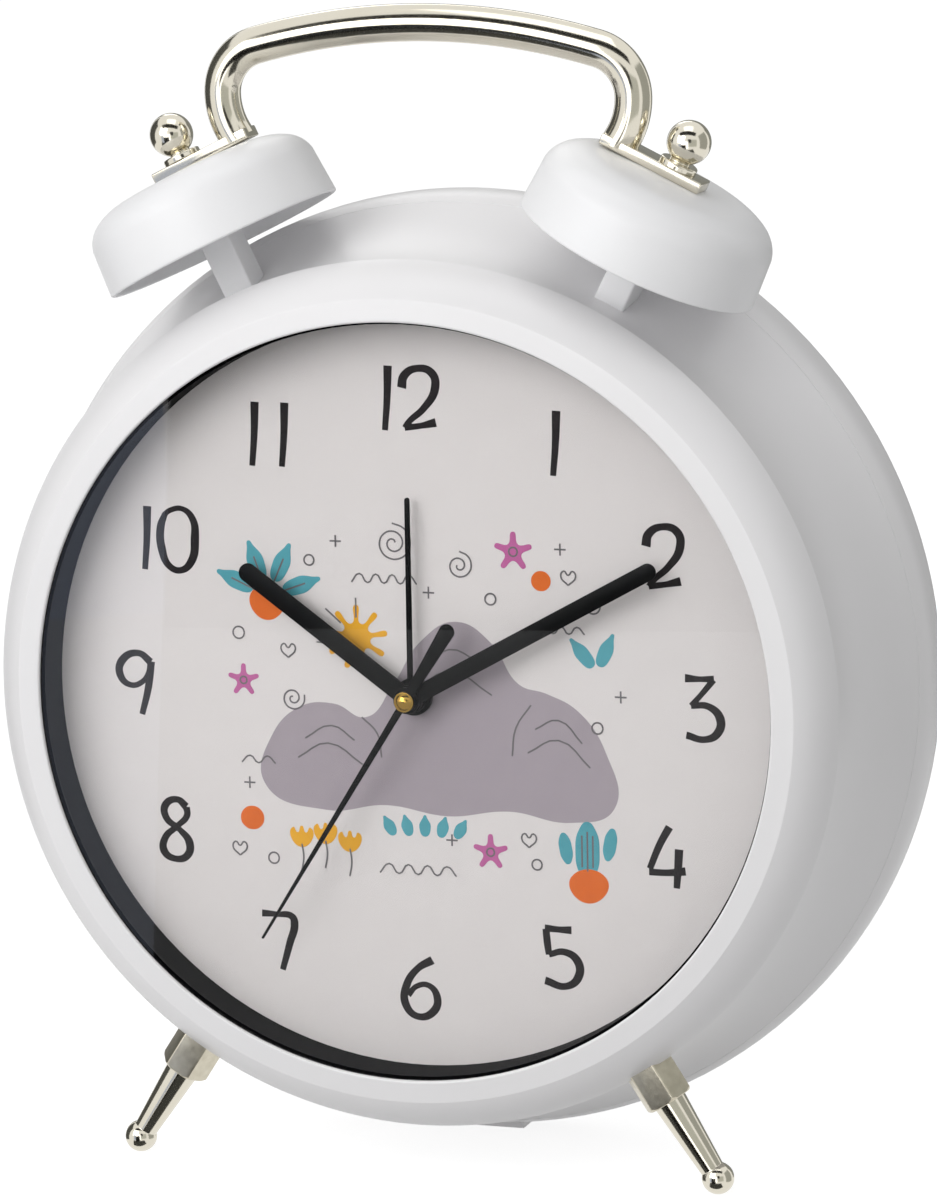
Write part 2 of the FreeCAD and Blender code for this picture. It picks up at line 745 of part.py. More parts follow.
def make_rear_cover():
    """Round-backed cover with a control recess, battery tray, screw wells and a moulded rest."""
    body = new_body("rear_cover")
    wall = sizes.shell_wall
    lip_radius = SEAM_RADIUS - sizes.seam_lip_inset
    round_back = sizes.cover_round
    swell = tangent_bend(sizes.swell, sizes.swell_length)
    inner_back = sizes.case_depth - wall
    points = [
        (0.0, sizes.case_depth),
        (COVER_BACK, sizes.case_depth),
        (sizes.cover_radius, sizes.case_depth - round_back),
        (sizes.cover_radius, SWELL_DEPTH),
        (SEAM_RADIUS, SEAM_DEPTH),
        (lip_radius, SEAM_DEPTH),
        (lip_radius, SEAM_DEPTH - sizes.seam_lip),
        (lip_radius - sizes.seam_lip_wall, SEAM_DEPTH - sizes.seam_lip),
        (lip_radius - sizes.seam_lip_wall, SEAM_DEPTH + wall),
        (SEAM_RADIUS - sizes.seam_edge_wall, SEAM_DEPTH + wall),
        (sizes.cover_radius - wall, SWELL_DEPTH),
        (sizes.cover_radius - wall, sizes.case_depth - round_back),
        (COVER_BACK, inner_back),
        (0.0, inner_back),
    ]
    bends = {1: (round_back, -1), 3: (swell, -1), 11: (round_back - wall, 1)}
    revolve(body, points, bends)

    rest = sketch_on(body, lift=SWELL_DEPTH - sizes.rest_forward)
    half = sizes.rest_width / 2
    draw_box(rest, -half, half, sizes.cover_radius - sizes.rest_root, AXIS_HEIGHT)
    pad(body, rest, sizes.rest_depth)

    wide = sizes.recess_width / 2
    tall = sizes.recess_height / 2
    pan = sketch_on(body, lift=FLOOR_FRONT)
    draw_box(pan, -wide - wall, wide + wall, -tall - wall, tall + wall, sizes.recess_corner + wall)
    pad(body, pan, sizes.case_depth - FLOOR_FRONT)
    recess = sketch_on(body, lift=sizes.case_depth)
    draw_box(recess, -wide, wide, -tall, tall, sizes.recess_corner)
    pocket(body, recess, sizes.recess_depth)

    drop = sizes.battery_drop
    long_half = sizes.tray_length / 2
    wide_half = sizes.tray_width / 2
    margin = (sizes.door_length - sizes.tray_length) / 2 + sizes.easy_gap + sizes.tray_wall
    side = (sizes.door_width - sizes.tray_width) / 2 + sizes.easy_gap + sizes.tray_wall
    tray = sketch_on(body, lift=FLOOR_FRONT)
    draw_box(tray, -long_half - margin, long_half + margin,
             drop - wide_half - side, drop + wide_half + side)
    pad(body, tray, sizes.tray_depth + sizes.tray_wall, towards_back=False)
    bay = sketch_on(body, lift=FLOOR_FRONT)
    draw_box(bay, -long_half, long_half, drop - wide_half, drop + wide_half)
    pocket(body, bay, sizes.tray_depth)
    hatch = sketch_on(body, lift=FLOOR_BACK)
    gap = sizes.easy_gap
    draw_box(hatch, -sizes.door_length / 2 - gap, sizes.door_length / 2 + gap,
             drop - sizes.door_width / 2 - gap, drop + sizes.door_width / 2 + gap)
    pocket(body, hatch, wall)
    hinge = sketch_on(body, "YZ_Plane")
    draw_circle(hinge, HINGE_DROP, HINGE_DEPTH, sizes.door_pin_radius + sizes.pin_gap)
    pocket(body, hinge, sizes.door_length + 4 * gap + 2 * sizes.door_pin_length, middle=True)

    openings = sketch_on(body, lift=FLOOR_BACK)
    for x, y in (TIME_SETTING, ALARM_SETTING):
        draw_circle(openings, x, y, sizes.setting_radius + sizes.easy_gap)
    slot = (sizes.switch_length + sizes.switch_travel) / 2 + gap
    draw_box(openings, -slot, slot, -sizes.switch_rise - sizes.switch_width / 2 - gap,
             -sizes.switch_rise + sizes.switch_width / 2 + gap)
    draw_circle(openings, sizes.buzzer_out, -sizes.buzzer_rise, sizes.sound_hole_radius)
    for number in range(SOUND_HOLES):
        angle = as_size(360.0 * number / SOUND_HOLES)
        draw_circle(openings, sizes.buzzer_out + sizes.sound_hole_ring * cosine(angle),
                    -sizes.buzzer_rise + sizes.sound_hole_ring * sine(angle),
                    sizes.sound_hole_radius)
    pocket(body, openings, wall)

    wells = sketch_on(body, lift=BOSS_END)
    sinks = sketch_on(body, lift=sizes.case_depth)
    shanks = sketch_on(body, lift=WELL_FLOOR)
    for x, y in screw_spots():
        draw_circle(wells, x, y, sizes.well_radius)
        draw_circle(sinks, x, y, sizes.screw_head_radius + 2 * gap)
        draw_circle(shanks, x, y, sizes.screw_radius + gap)
    pad(body, wells, sizes.case_depth - wall - BOSS_END)
    pocket(body, sinks, sizes.case_depth - WELL_FLOOR)
    pocket(body, shanks, WELL_FLOOR - BOSS_END)
    place_in_case(body)
    return body


def make_cover_screws():
    """Four pan-head screws in the wells of the rear cover."""
    head = sizes.screw_head_radius
    floor = WELL_FLOOR
    screws = []
    for x, y in screw_spots():
        shank = Part.makeCylinder(sizes.screw_radius.value, sizes.screw_length.value,
                                  Vector(x.value, y.value, (floor - sizes.screw_length).value))
        top = Part.makeCylinder(head.value, sizes.screw_head.value,
                                Vector(x.value, y.value, floor.value))
        screws.append(shank.fuse(top).removeSplitter())
    return fixed_shape("cover_screws", Part.makeCompound(screws), place_in_case)


# Battery, its door, the switch and the buzzer

HINGE_DROP = sizes.battery_drop + sizes.door_width / 2 - sizes.door_thickness / 2
HINGE_DEPTH = FLOOR_BACK - sizes.door_thickness / 2
BAY_DEPTH = FLOOR_FRONT - sizes.tray_depth + sizes.battery_radius + sizes.easy_gap


def make_battery_door():
    """Door with a round lower edge that turns on two moulded pins, and a finger rib."""
    body = new_body("battery_door")
    half = sizes.door_thickness / 2
    top = sizes.battery_drop - sizes.door_width / 2
    side_view = sketch_on(body, "YZ_Plane")
    points = [(top, HINGE_DEPTH - half), (HINGE_DROP, HINGE_DEPTH - half),
              (HINGE_DROP + half, HINGE_DEPTH), (HINGE_DROP, HINGE_DEPTH + half),
              (top, HINGE_DEPTH + half)]
    draw(side_view, points, {1: (half, 1), 2: (half, 1)})
    pad(body, side_view, sizes.door_length, middle=True)
    pins = draw_circle(sketch_on(body, "YZ_Plane"), HINGE_DROP, HINGE_DEPTH, sizes.door_pin_radius)
    pad(body, pins, sizes.door_length + 2 * sizes.easy_gap + 2 * sizes.door_pin_length, middle=True)
    rib = sketch_on(body, lift=FLOOR_BACK)
    draw_box(rib, -sizes.rib_length / 2, sizes.rib_length / 2, top + sizes.rib_inset,
             top + sizes.rib_inset + sizes.rib_width)
    pad(body, rib, sizes.rib_height)
    place_in_case(body)
    return body


def place_in_bay(thing):
    """Frame of the battery: local Z runs along the tray to the right."""
    turn = FreeCAD.Rotation(Vector(0, 1, 0), 90)
    thing.Placement = FreeCAD.Placement(Vector(0, 0, 0), turn)
    bind(thing, "Placement.Base.y", BAY_DEPTH - MID_DEPTH)
    bind(thing, "Placement.Base.z", AXIS_HEIGHT - sizes.battery_drop)


BATTERY_TOP = sizes.tray_length / 2 - sizes.contact_sheet
BATTERY_FOOT = BATTERY_TOP - sizes.battery_nub_length - sizes.battery_length


def make_battery():
    """Round cell with its raised terminal."""
    body = new_body("battery")
    shoulder = BATTERY_TOP - sizes.battery_nub_length
    revolve(body, [(0.0, BATTERY_FOOT), (sizes.battery_radius, BATTERY_FOOT),
                   (sizes.battery_radius, shoulder), (sizes.battery_nub_radius, shoulder),
                   (sizes.battery_nub_radius, BATTERY_TOP), (0.0, BATTERY_TOP)])
    place_in_bay(body)
    return body


def make_contacts():
    """Flat contact at the cell's terminal, and a coiled contact at its foot."""
    half = sizes.contact_size / 2
    flat = new_body("battery_plate")
    square = draw_box(sketch_on(flat, lift=BATTERY_TOP), -half, half, -half, half)
    pad(flat, square, sizes.contact_sheet)
    place_in_bay(flat)

    wall = -sizes.tray_length.value / 2
    sheet_top = wall + sizes.contact_sheet.value
    wire = sizes.spring_wire.value
    height = BATTERY_FOOT.value - sheet_top - 2 * wire
    radius = half.value / 2
    helix = Part.makeHelix(height / sizes.spring_turns.value, height, radius)
    helix.translate(Vector(0, 0, sheet_top + wire))
    ring = Part.Circle(Vector(radius, 0, sheet_top + wire), Vector(0, 1, 0), wire).toShape()
    coil = Part.Wire(helix).makePipeShell([Part.Wire(ring)], True, True)
    backing = Part.makeBox(2 * half.value, 2 * half.value, sizes.contact_sheet.value,
                           Vector(-half.value, -half.value, wall))
    spring = backing.fuse(coil)
    return [flat, fixed_shape("battery_spring", spring, place_in_bay)]


def make_alarm_switch():
    """Slide switch, drawn at the left end of its travel."""
    body = new_body("alarm_switch")
    rest = -sizes.switch_travel / 2
    rise = -sizes.switch_rise
    flange_back = FLOOR_FRONT - sizes.easy_gap
    flange = sketch_on(body, lift=flange_back - sizes.switch_flange)
    draw_box(flange, rest - sizes.switch_flange_length / 2, rest + sizes.switch_flange_length / 2,
             rise - sizes.switch_flange_width / 2, rise + sizes.switch_flange_width / 2)
    pad(body, flange, sizes.switch_flange)
    thumb = sketch_on(body, lift=flange_back)
    draw_box(thumb, rest - sizes.switch_length / 2, rest + sizes.switch_length / 2,
             rise - sizes.switch_width / 2, rise + sizes.switch_width / 2)
    pad(body, thumb, FLOOR_BACK - flange_back + sizes.switch_height)
    place_in_case(body)
    return body


def make_buzzer():
    """Flat sounder behind the sound holes."""
    body = new_body("buzzer")
    face = sketch_on(body, lift=FLOOR_FRONT - sizes.buzzer_thickness)
    draw_circle(face, sizes.buzzer_out, -sizes.buzzer_rise, sizes.buzzer_radius)
    pad(body, face, sizes.buzzer_thickness)
    place_in_case(body)
    return body


# Bells, posts, finials, handle

def make_bell(label, side):
    """Hollow cap with a straight rim, round shoulder and flat crown."""
    body = new_body(label)
    rim = RIM_REACH
    wall = sizes.bell_wall
    points = [
        (sizes.stud_radius + sizes.stud_gap, CROWN_REACH),
        (sizes.plate_depth, CROWN_REACH),
        (sizes.bell_top_radius, rim + sizes.bell_top_height),
        (sizes.bell_brow_radius, rim + sizes.bell_brow_height),
        (sizes.bell_shoulder_radius, rim + sizes.bell_shoulder_height),
        (sizes.bell_radius, rim),
        (sizes.bell_radius - wall, rim),
        (sizes.bell_shoulder_radius - wall, rim + sizes.bell_shoulder_height),
        (sizes.bell_brow_radius - wall * BROW_WALL[0],
         rim + sizes.bell_brow_height - wall * BROW_WALL[1]),
        (sizes.bell_top_radius, rim + sizes.bell_top_height - wall * TOP_WALL),
        (sizes.plate_depth, CROWN_REACH - wall),
        (sizes.stud_radius + sizes.stud_gap, CROWN_REACH - wall),
    ]
    bends = {2: (sizes.bell_brow_bend, -1), 3: (sizes.bell_shoulder_bend, -1),
             7: (sizes.bell_shoulder_bend - wall, 1), 8: (sizes.bell_brow_bend - wall, 1)}
    revolve(body, points, bends)
    place_at_bell(body, side)
    return body


def make_post(label, side, drum_form):
    """Square post from the drum's flare up into the bell's crown."""
    body = new_body(label + "_bar")
    start = DRUM_FRONT - sizes.post_sink
    end = CROWN_REACH - sizes.bell_wall
    section = sketch_on(body, lift=start)
    draw_box(section, -sizes.post_width / 2, sizes.post_width / 2,
             -sizes.post_depth / 2, sizes.post_depth / 2)
    pad(body, section, end - start)
    top = draw_circle(sketch_on(body, lift=end), 0, 0, sizes.stud_radius + sizes.pin_gap)
    pocket(body, top, sizes.stud_length)
    low = draw_circle(sketch_on(body, lift=start), 0, 0, sizes.stud_radius + sizes.pin_gap)
    pocket(body, low, POST_SCREW_END - start + sizes.stud_spare, towards_back=True)
    place_at_bell(body, side)
    return cut_from(label, body, drum_form)


POST_SCREW_SEAT = DRUM_FRONT - sizes.post_seat
POST_SCREW_END = POST_SCREW_SEAT + sizes.post_screw_length


def make_post_screws():
    """Screws that hold the posts from inside the drum."""
    screws = []
    for side in (-1, 1):
        seat = POST_SCREW_SEAT.value
        head = Part.makeCylinder(sizes.post_screw_head_radius.value, sizes.post_screw_head.value,
                                 Vector(0, 0, seat - sizes.post_screw_head.value))
        shank = Part.makeCylinder(sizes.stud_radius.value, sizes.post_screw_length.value,
                                  Vector(0, 0, seat))
        screw = head.fuse(shank).removeSplitter()
        screw.rotate(Vector(0, 0, 0), Vector(0, 1, 0), side * sizes.bell_angle.value)
        screws.append(screw)

    def put(piece):
        place(piece, sizes.bell_depth, FreeCAD.Rotation())

    return fixed_shape("post_screws", Part.makeCompound(screws), put)


def make_finial(label, side):
    """Ball nut with neck, collar and a threaded stud through plate and bell."""
    body = new_body(label)
    centre = PLATE_TOP + sizes.finial_rise
    ball = sizes.finial_radius
    neck = sizes.neck_radius
    collar_top = PLATE_TOP + sizes.collar_thickness
    rise = root_of(ball * ball - neck * neck)
    tip = CROWN_REACH - sizes.bell_wall - sizes.stud_length + sizes.stud_spare
    points = [
        (0.0, tip), (sizes.stud_radius, tip), (sizes.stud_radius, PLATE_TOP),
        (sizes.collar_radius, PLATE_TOP), (sizes.collar_radius, collar_top),
        (neck, collar_top), (neck, centre - rise), (ball, centre), (0.0, centre + ball),
    ]
    revolve(body, points, {6: (ball, 1), 7: (ball, 1)})
    place_at_bell(body, side)
    return body


def make_handle():
    """Arched bar with a ridged oval section, drawn in to a square-ended plate over each bell."""
    bar = new_body("handle_bar")
    lean = sizes.bell_angle
    foot_turn = sizes.handle_foot_turn
    run = sizes.handle_foot_run
    corner = sizes.handle_corner_bend
    reach = CROWN_REACH + sizes.handle_foot_lift
    end_x = reach * sine(lean) - sizes.handle_foot_inset * cosine(lean)
    end_z = reach * cosine(lean) + sizes.handle_foot_inset * sine(lean)
    foot_x = end_x + run * sine(foot_turn)
    foot_z = end_z + run * cosine(foot_turn)
    side_x = foot_x + sizes.handle_foot_bend * (1 - cosine(foot_turn))
    centre_z = foot_z + sizes.handle_foot_bend * sine(foot_turn)
    turn = (side_x - corner) / (sizes.handle_top_bend - corner)
    level = root_of(1 - turn * turn)
    start_x = side_x - corner * (1 - turn)
    start_z = centre_z + corner * level
    top = start_z + sizes.handle_top_bend * (1 - level)
    path = draw(
        sketch_on(bar, "XZ_Plane"),
        [(0.0, top), (start_x, start_z), (side_x, centre_z), (foot_x, foot_z), (end_x, end_z)],
        {0: (sizes.handle_top_bend, -1), 1: (corner, -1), 2: (sizes.handle_foot_bend, -1)},
        closed=False)
    thick = sizes.handle_thickness / 2
    deep = sizes.handle_depth / 2
    bend = tangent_bend(thick, deep) * sizes.handle_ridge
    section = draw(sketch_on(bar, "YZ_Plane"),
                   [(-deep, top), (0.0, top - thick), (deep, top), (0.0, top + thick)],
                   {number: (bend, 1) for number in range(4)})
    sweep = bar.newObject("PartDesign::AdditivePipe", "Bar")
    sweep.Profile = section
    sweep.Spine = (path, [""])
    document.recompute()
    other_half = bar.newObject("PartDesign::Mirrored", "OtherHalf")
    other_half.Originals = [sweep]
    plane = next(f for f in bar.Origin.OriginFeatures if f.Role == "YZ_Plane")
    other_half.MirrorPlane = (plane, [""])
    bar.Tip = other_half
    place(bar, sizes.bell_depth, FreeCAD.Rotation())

    plates = []
    for side in (-1, 1):
        plate = new_body("handle_plate")
        deep = sizes.plate_depth / 2
        left, right = sizes.plate_inner_reach, sizes.plate_outer_reach
        if side < 0:
            left, right = right, left
        outline = draw_box(sketch_on(plate, lift=CROWN_REACH), -left, right, -deep, deep)
        draw_circle(outline, 0, 0, sizes.stud_radius + sizes.stud_gap)
        pad(plate, outline, sizes.plate_thickness)
        place_at_bell(plate, side)
        plates.append(plate)
    return joined("handle", bar, *plates)


def make_foot(label, side, drum_form):
    """Hexagonal head against the drum, tapered leg and a ball end cut flat where it stands."""
    start = DRUM_FRONT - sizes.foot_sink
    head = document.addObject("Part::Prism", label + "_head")
    head.Polygon = 6
    bind(head, "Circumradius", sizes.foot_head_side)
    bind(head, "Height", FOOT_HEAD_END - start)
    leg = document.addObject("Part::Cone", label + "_leg")
    bind(leg, "Radius1", sizes.foot_leg_radius)
    bind(leg, "Radius2", sizes.foot_ankle_radius)
    bind(leg, "Height", FOOT_BALL_REACH - FOOT_HEAD_END)
    ball = document.addObject("Part::Sphere", label + "_ball")
    bind(ball, "Radius", sizes.foot_ball_radius)
    stud = document.addObject("Part::Cylinder", label + "_stud")
    bind(stud, "Radius", sizes.stud_radius)
    bind(stud, "Height", sizes.foot_stud_length + sizes.foot_sink)
    bezel_room = document.addObject("Part::Cylinder", label + "_bezel_room")
    bind(bezel_room, "Radius", EDGE_RADIUS + sizes.stud_gap)
    bind(bezel_room, "Height", sizes.bezel_depth)
    place_in_case(bezel_room)
    reach = side * (180.0 - sizes.foot_angle.value)
    lean = FreeCAD.Rotation(Vector(0, 1, 0), reach)
    stud_start = DRUM_FRONT - sizes.foot_stud_length + sizes.bush_gap
    for thing, along in ((head, start), (leg, FOOT_HEAD_END),
                         (ball, FOOT_BALL_REACH), (stud, stud_start)):
        thing.Placement = FreeCAD.Placement(Vector(0, 0, 0), lean)
        bind(thing, "Placement.Base.x", along * side * sine(sizes.foot_angle))
        bind(thing, "Placement.Base.y", sizes.foot_depth - MID_DEPTH)
        bind(thing, "Placement.Base.z", AXIS_HEIGHT - along * cosine(sizes.foot_angle))
    seat = joined(label + "_seat", drum_form, bezel_room)
    seated = cut_from(label + "_seated", head, seat)
    whole = joined(label + "_whole", seated, leg, ball, stud)
    ground = document.addObject("Part::Box", label + "_ground")
    for edge in ("Length", "Width", "Height"):
        bind(ground, edge, SEAM_RADIUS * 2)
    bind(ground, "Placement.Base.x", -SEAM_RADIUS)
    bind(ground, "Placement.Base.y", -SEAM_RADIUS)
    bind(ground, "Placement.Base.z", -SEAM_RADIUS * 2)
    return cut_from(label, whole, ground)


# Hands

def make_hand(label, outline, bends, depth, boss_radius, bore, angle):
    """Flat hand pressed from sheet, with a round boss, turned to its place on the dial."""
    body = new_body(label)
    blade = draw(sketch_on(body, lift=depth), outline, bends)
    pad(body, blade, sizes.hand_sheet)
    boss = draw_circle(sketch_on(body, lift=depth), 0, 0, boss_radius)
    pad(body, boss, sizes.hand_boss)
    hole = draw_circle(sketch_on(body, lift=depth), 0, 0, bore)
    pocket(body, hole, sizes.hand_boss, towards_back=True)
    place_in_case(body, angle)
    return body


def bar_outline(length, width):
    """Outline of a parallel hand with a round end that points to twelve o'clock."""
    half = width / 2
    points = [(-half, 0.0), (-half, -length + half), (0.0, -length), (half, -length + half),
              (half, 0.0)]
    return points, {1: (half, 1), 2: (half, 1)}


def make_hands():
    """The four hands and the brass cap."""
    alarm = bar_outline(sizes.alarm_hand_length, sizes.alarm_hand_width)
    hour = bar_outline(sizes.hour_hand_length, sizes.hour_hand_width)
    minute = bar_outline(sizes.minute_hand_length, sizes.minute_hand_width)
    root = sizes.second_hand_root / 2
    tip = sizes.second_hand_tip / 2
    tail = sizes.second_tail_width / 2
    neck = sizes.second_tail_neck / 2
    end = sizes.second_tail_length - tail
    waist = sizes.second_tail_root
    needle = [(-root, 0.0), (-tip, -sizes.second_hand_length), (tip, -sizes.second_hand_length),
              (root, 0.0), (neck, waist), (tail, end), (0.0, end + tail), (-tail, end),
              (-neck, waist)]
    pieces = [
        make_hand("alarm_hand", *alarm, ALARM_HAND_FRONT, sizes.alarm_boss_radius,
                  ALARM_TUBE, HAND_ANGLES["alarm"]),
        make_hand("hour_hand", *hour, HOUR_HAND_FRONT, sizes.hour_boss_radius,
                  HOUR_TUBE, HAND_ANGLES["hour"]),
        make_hand("minute_hand", *minute, MINUTE_HAND_FRONT, sizes.minute_boss_radius,
                  MINUTE_TUBE, HAND_ANGLES["minute"]),
        make_hand("second_hand", needle, {5: (tail, 1), 6: (tail, 1)}, SECOND_HAND_FRONT,
                  sizes.second_boss_radius, sizes.second_arbor_radius, HAND_ANGLES["second"]),
    ]
    cap = new_body("second_cap")
    dome = tangent_bend(sizes.cap_height, sizes.cap_radius)
    revolve(cap, [(0.0, SECOND_HAND_FRONT - sizes.cap_height),
                  (sizes.cap_radius, SECOND_HAND_FRONT),
                  (0.0, SECOND_HAND_FRONT)], {0: (dome, 1)})
    place_in_case(cap)
    return pieces + [cap]


# Movement

def make_movement_shells():
    """Front shell with the threaded bush, and the cover with pillars for stator and board."""
    half = sizes.movement_size / 2
    inner = half - sizes.movement_wall
    corner = sizes.movement_corner
    inner_corner = corner - sizes.movement_wall
    pivots = (THIRD_SPOT, INTERMEDIATE_SPOT, ROTOR_SPOT)

    shell = new_body("movement_case")
    block = draw_box(sketch_on(shell, lift=PLATE_BACK), -half, half, -half, half, corner)
    pad(shell, block, sizes.movement_split)
    room = draw_box(sketch_on(shell, lift=MOVEMENT_SPLIT), -inner, inner, -inner, inner,
                    inner_corner)
    pocket(shell, room, MOVEMENT_SPLIT - MOVEMENT_INNER)
    bush = draw_circle(sketch_on(shell, lift=BUSH_END), 0, 0, sizes.bush_radius)
    pad(shell, bush, PLATE_BACK - BUSH_END)
    bore = draw_circle(sketch_on(shell, lift=MOVEMENT_INNER), 0, 0, BUSH_BORE)
    pocket(shell, bore, MOVEMENT_INNER - BUSH_END)
    holes = sketch_on(shell, lift=MOVEMENT_INNER)
    for x, y in (TIME_SETTING, ALARM_SETTING):
        draw_circle(holes, x, y, SETTING_HOLE)
    pocket(shell, holes, sizes.pivot_depth)
    pillars = sketch_on(shell, lift=MOVEMENT_INNER)
    for x, y in PLATE_PILLARS:
        draw_circle(pillars, x, y, sizes.plate_pillar_radius)
    pad(shell, pillars, LAYERS["train_plate"] - MOVEMENT_INNER)
    place_in_case(shell)

    plate = new_body("train_plate")
    step = sizes.train_plate_step
    edge = sizes.train_plate_edge
    drop = sizes.train_plate_drop
    outline = sketch_on(plate, lift=LAYERS["train_plate"])
    draw(outline, [(-inner, sizes.train_plate_top), (step, sizes.train_plate_top), (step, edge),
                   (inner, edge), (inner, drop), (-inner, drop)])
    for x, y in pivots:
        draw_circle(outline, x, y, PIVOT_HOLE)
    pad(plate, outline, sizes.train_plate)
    place_in_case(plate)

    cover = new_body("movement_cover")
    block = draw_box(sketch_on(cover, lift=MOVEMENT_SPLIT), -half, half, -half, half, corner)
    pad(cover, block, MOVEMENT_BACK - MOVEMENT_SPLIT)
    room = draw_box(sketch_on(cover, lift=MOVEMENT_SPLIT), -inner, inner, -inner, inner,
                    inner_corner)
    pocket(cover, room, MOVEMENT_CEILING - MOVEMENT_SPLIT, towards_back=True)
    stator_back = LAYERS["stator"] + sizes.stator_thickness
    board_back = LAYERS["board"] + sizes.board_thickness
    for spots, start in ((STATOR_PILLARS, stator_back), (BOARD_PILLARS, board_back)):
        pillars = sketch_on(cover, lift=start)
        for x, y in spots:
            draw_circle(pillars, x, y, sizes.board_pillar_radius)
        pad(cover, pillars, MOVEMENT_CEILING - start)
    holes = sketch_on(cover, lift=MOVEMENT_CEILING)
    for x, y in pivots:
        draw_circle(holes, x, y, PIVOT_HOLE)
    draw_circle(holes, 0, 0, sizes.second_arbor_radius + sizes.running_gap)
    pocket(cover, holes, sizes.pivot_depth, towards_back=True)
    shafts = sketch_on(cover, lift=MOVEMENT_BACK)
    for x, y in (TIME_SETTING, ALARM_SETTING):
        draw_circle(shafts, x, y, SETTING_HOLE)
    pocket(cover, shafts, sizes.movement_wall)
    place_in_case(cover)
    return [shell, plate, cover]


PLATE_PILLARS = ((-24.0, 21.0), (24.0, 21.0))
STATOR_PILLARS = ((6.8, 12.5), (25.6, 2.4))
BOARD_PILLARS = ((-24.0, 24.0), (-8.0, 14.0))


def toothed(teeth, module, start, thickness, spot, aim):
    """Wheel with straight-sided teeth; one tooth points along the angle `aim`."""
    pitch_radius = module.value * teeth / 2
    pitch_angle = 2 * math.pi / teeth
    root = pitch_radius - DEDENDUM * module.value
    tip = pitch_radius + ADDENDUM * module.value
    levels = ((root, -ROOT_SHARE), (tip, -TIP_SHARE), (tip, TIP_SHARE), (root, ROOT_SHARE))
    corners = []
    for tooth in range(teeth):
        for radius, share in levels:
            angle = math.radians(aim) + pitch_angle * (tooth + share)
            corners.append(Vector(radius * math.cos(angle), radius * math.sin(angle), 0))
    face = Part.Face(Part.makePolygon(corners + corners[:1]))
    wheel = face.extrude(Vector(0, 0, thickness.value))
    wheel.translate(Vector(spot[0].value, spot[1].value, start.value))
    return wheel


def rod(radius, start, end, spot):
    """Plain round bar along the case axis."""
    start, end = as_size(start), as_size(end)
    foot = Vector(spot[0].value, spot[1].value, start.value)
    return Part.makeCylinder(radius.value, (end - start).value, foot)


def aim_between(first, second):
    """Direction in degrees from one arbor to another, in the case frame."""
    return math.degrees(math.atan2((second[1] - first[1]).value, (second[0] - first[0]).value))


def meshing_aim(teeth, direction):
    """Aim that puts a gap of the driven wheel where the driver's tooth points."""
    return direction + 180.0 + 180.0 / teeth


def make_motion_work():
    """Alarm, hour and minute wheels round the centre, and the setting shafts beside it."""
    module = sizes.motion_module
    hour_module = 2 * SETTING_REACH / (TEETH["hour_wheel"] + TEETH["minute_pinion"])
    thick = sizes.wheel_thickness
    to_time = aim_between(CENTRE_SPOT, TIME_SETTING)
    to_alarm = aim_between(CENTRE_SPOT, ALARM_SETTING)
    spare = sizes.tooth_spare

    alarm = toothed(TEETH["alarm_wheel"], module, LAYERS["alarm"], thick, CENTRE_SPOT, to_alarm)
    alarm = alarm.fuse(rod(ALARM_TUBE, ALARM_HAND_FRONT,
                           LAYERS["alarm"] + thick, CENTRE_SPOT))
    alarm = alarm.cut(rod(ALARM_BORE, 0.0, LAYERS["alarm"] + 2 * thick, CENTRE_SPOT))

    hour = toothed(TEETH["hour_wheel"], hour_module, LAYERS["hour"], thick, CENTRE_SPOT, to_time)
    hour = hour.fuse(rod(HOUR_TUBE, HOUR_HAND_FRONT,
                         LAYERS["hour"] + thick, CENTRE_SPOT))
    hour = hour.cut(rod(HOUR_BORE, 0.0, LAYERS["hour"] + 2 * thick, CENTRE_SPOT))

    minute = toothed(TEETH["cannon_pinion"], module, LAYERS["minute"] - spare, thick + 2 * spare,
                     CENTRE_SPOT, to_time)
    tube_end = LAYERS["centre"] + sizes.thin_wheel_thickness + spare
    minute = minute.fuse(rod(MINUTE_TUBE, MINUTE_HAND_FRONT, tube_end,
                             CENTRE_SPOT))
    minute = minute.cut(rod(MINUTE_BORE, 0.0, tube_end + thick, CENTRE_SPOT))

    setting = toothed(TEETH["minute_wheel"], module, LAYERS["minute"], thick, TIME_SETTING,
                      meshing_aim(TEETH["minute_wheel"], to_time))
    setting = setting.fuse(toothed(TEETH["minute_pinion"], hour_module, LAYERS["hour"] - spare,
                                   LAYERS["minute"] - LAYERS["hour"] + spare, TIME_SETTING,
                                   meshing_aim(TEETH["minute_pinion"], to_time)))
    setting = setting.cut(rod(sizes.setting_radius, 0.0, LAYERS["centre"] + 1,
                              TIME_SETTING))

    shaft_start = MOVEMENT_INNER - sizes.pivot_depth + sizes.easy_gap
    shaft_end = FLOOR_BACK + sizes.knob_gap + sizes.knob_bore
    time_shaft = rod(sizes.setting_radius, shaft_start, shaft_end, TIME_SETTING)
    alarm_shaft = rod(sizes.setting_radius, shaft_start, shaft_end, ALARM_SETTING)
    alarm_shaft = alarm_shaft.fuse(toothed(
        TEETH["alarm_pinion"], module, LAYERS["alarm"] - spare, thick + 2 * spare,
        ALARM_SETTING, meshing_aim(TEETH["alarm_pinion"], to_alarm)))
    return [
        fixed_shape("alarm_wheel", alarm, place_in_case),
        fixed_shape("hour_wheel", hour, place_in_case),
        fixed_shape("minute_arbor", minute, place_in_case),
        fixed_shape("minute_wheel", setting, place_in_case),
        fixed_shape("time_set_shaft", time_shaft, place_in_case),
        fixed_shape("alarm_set_shaft", alarm_shaft, place_in_case),
    ]


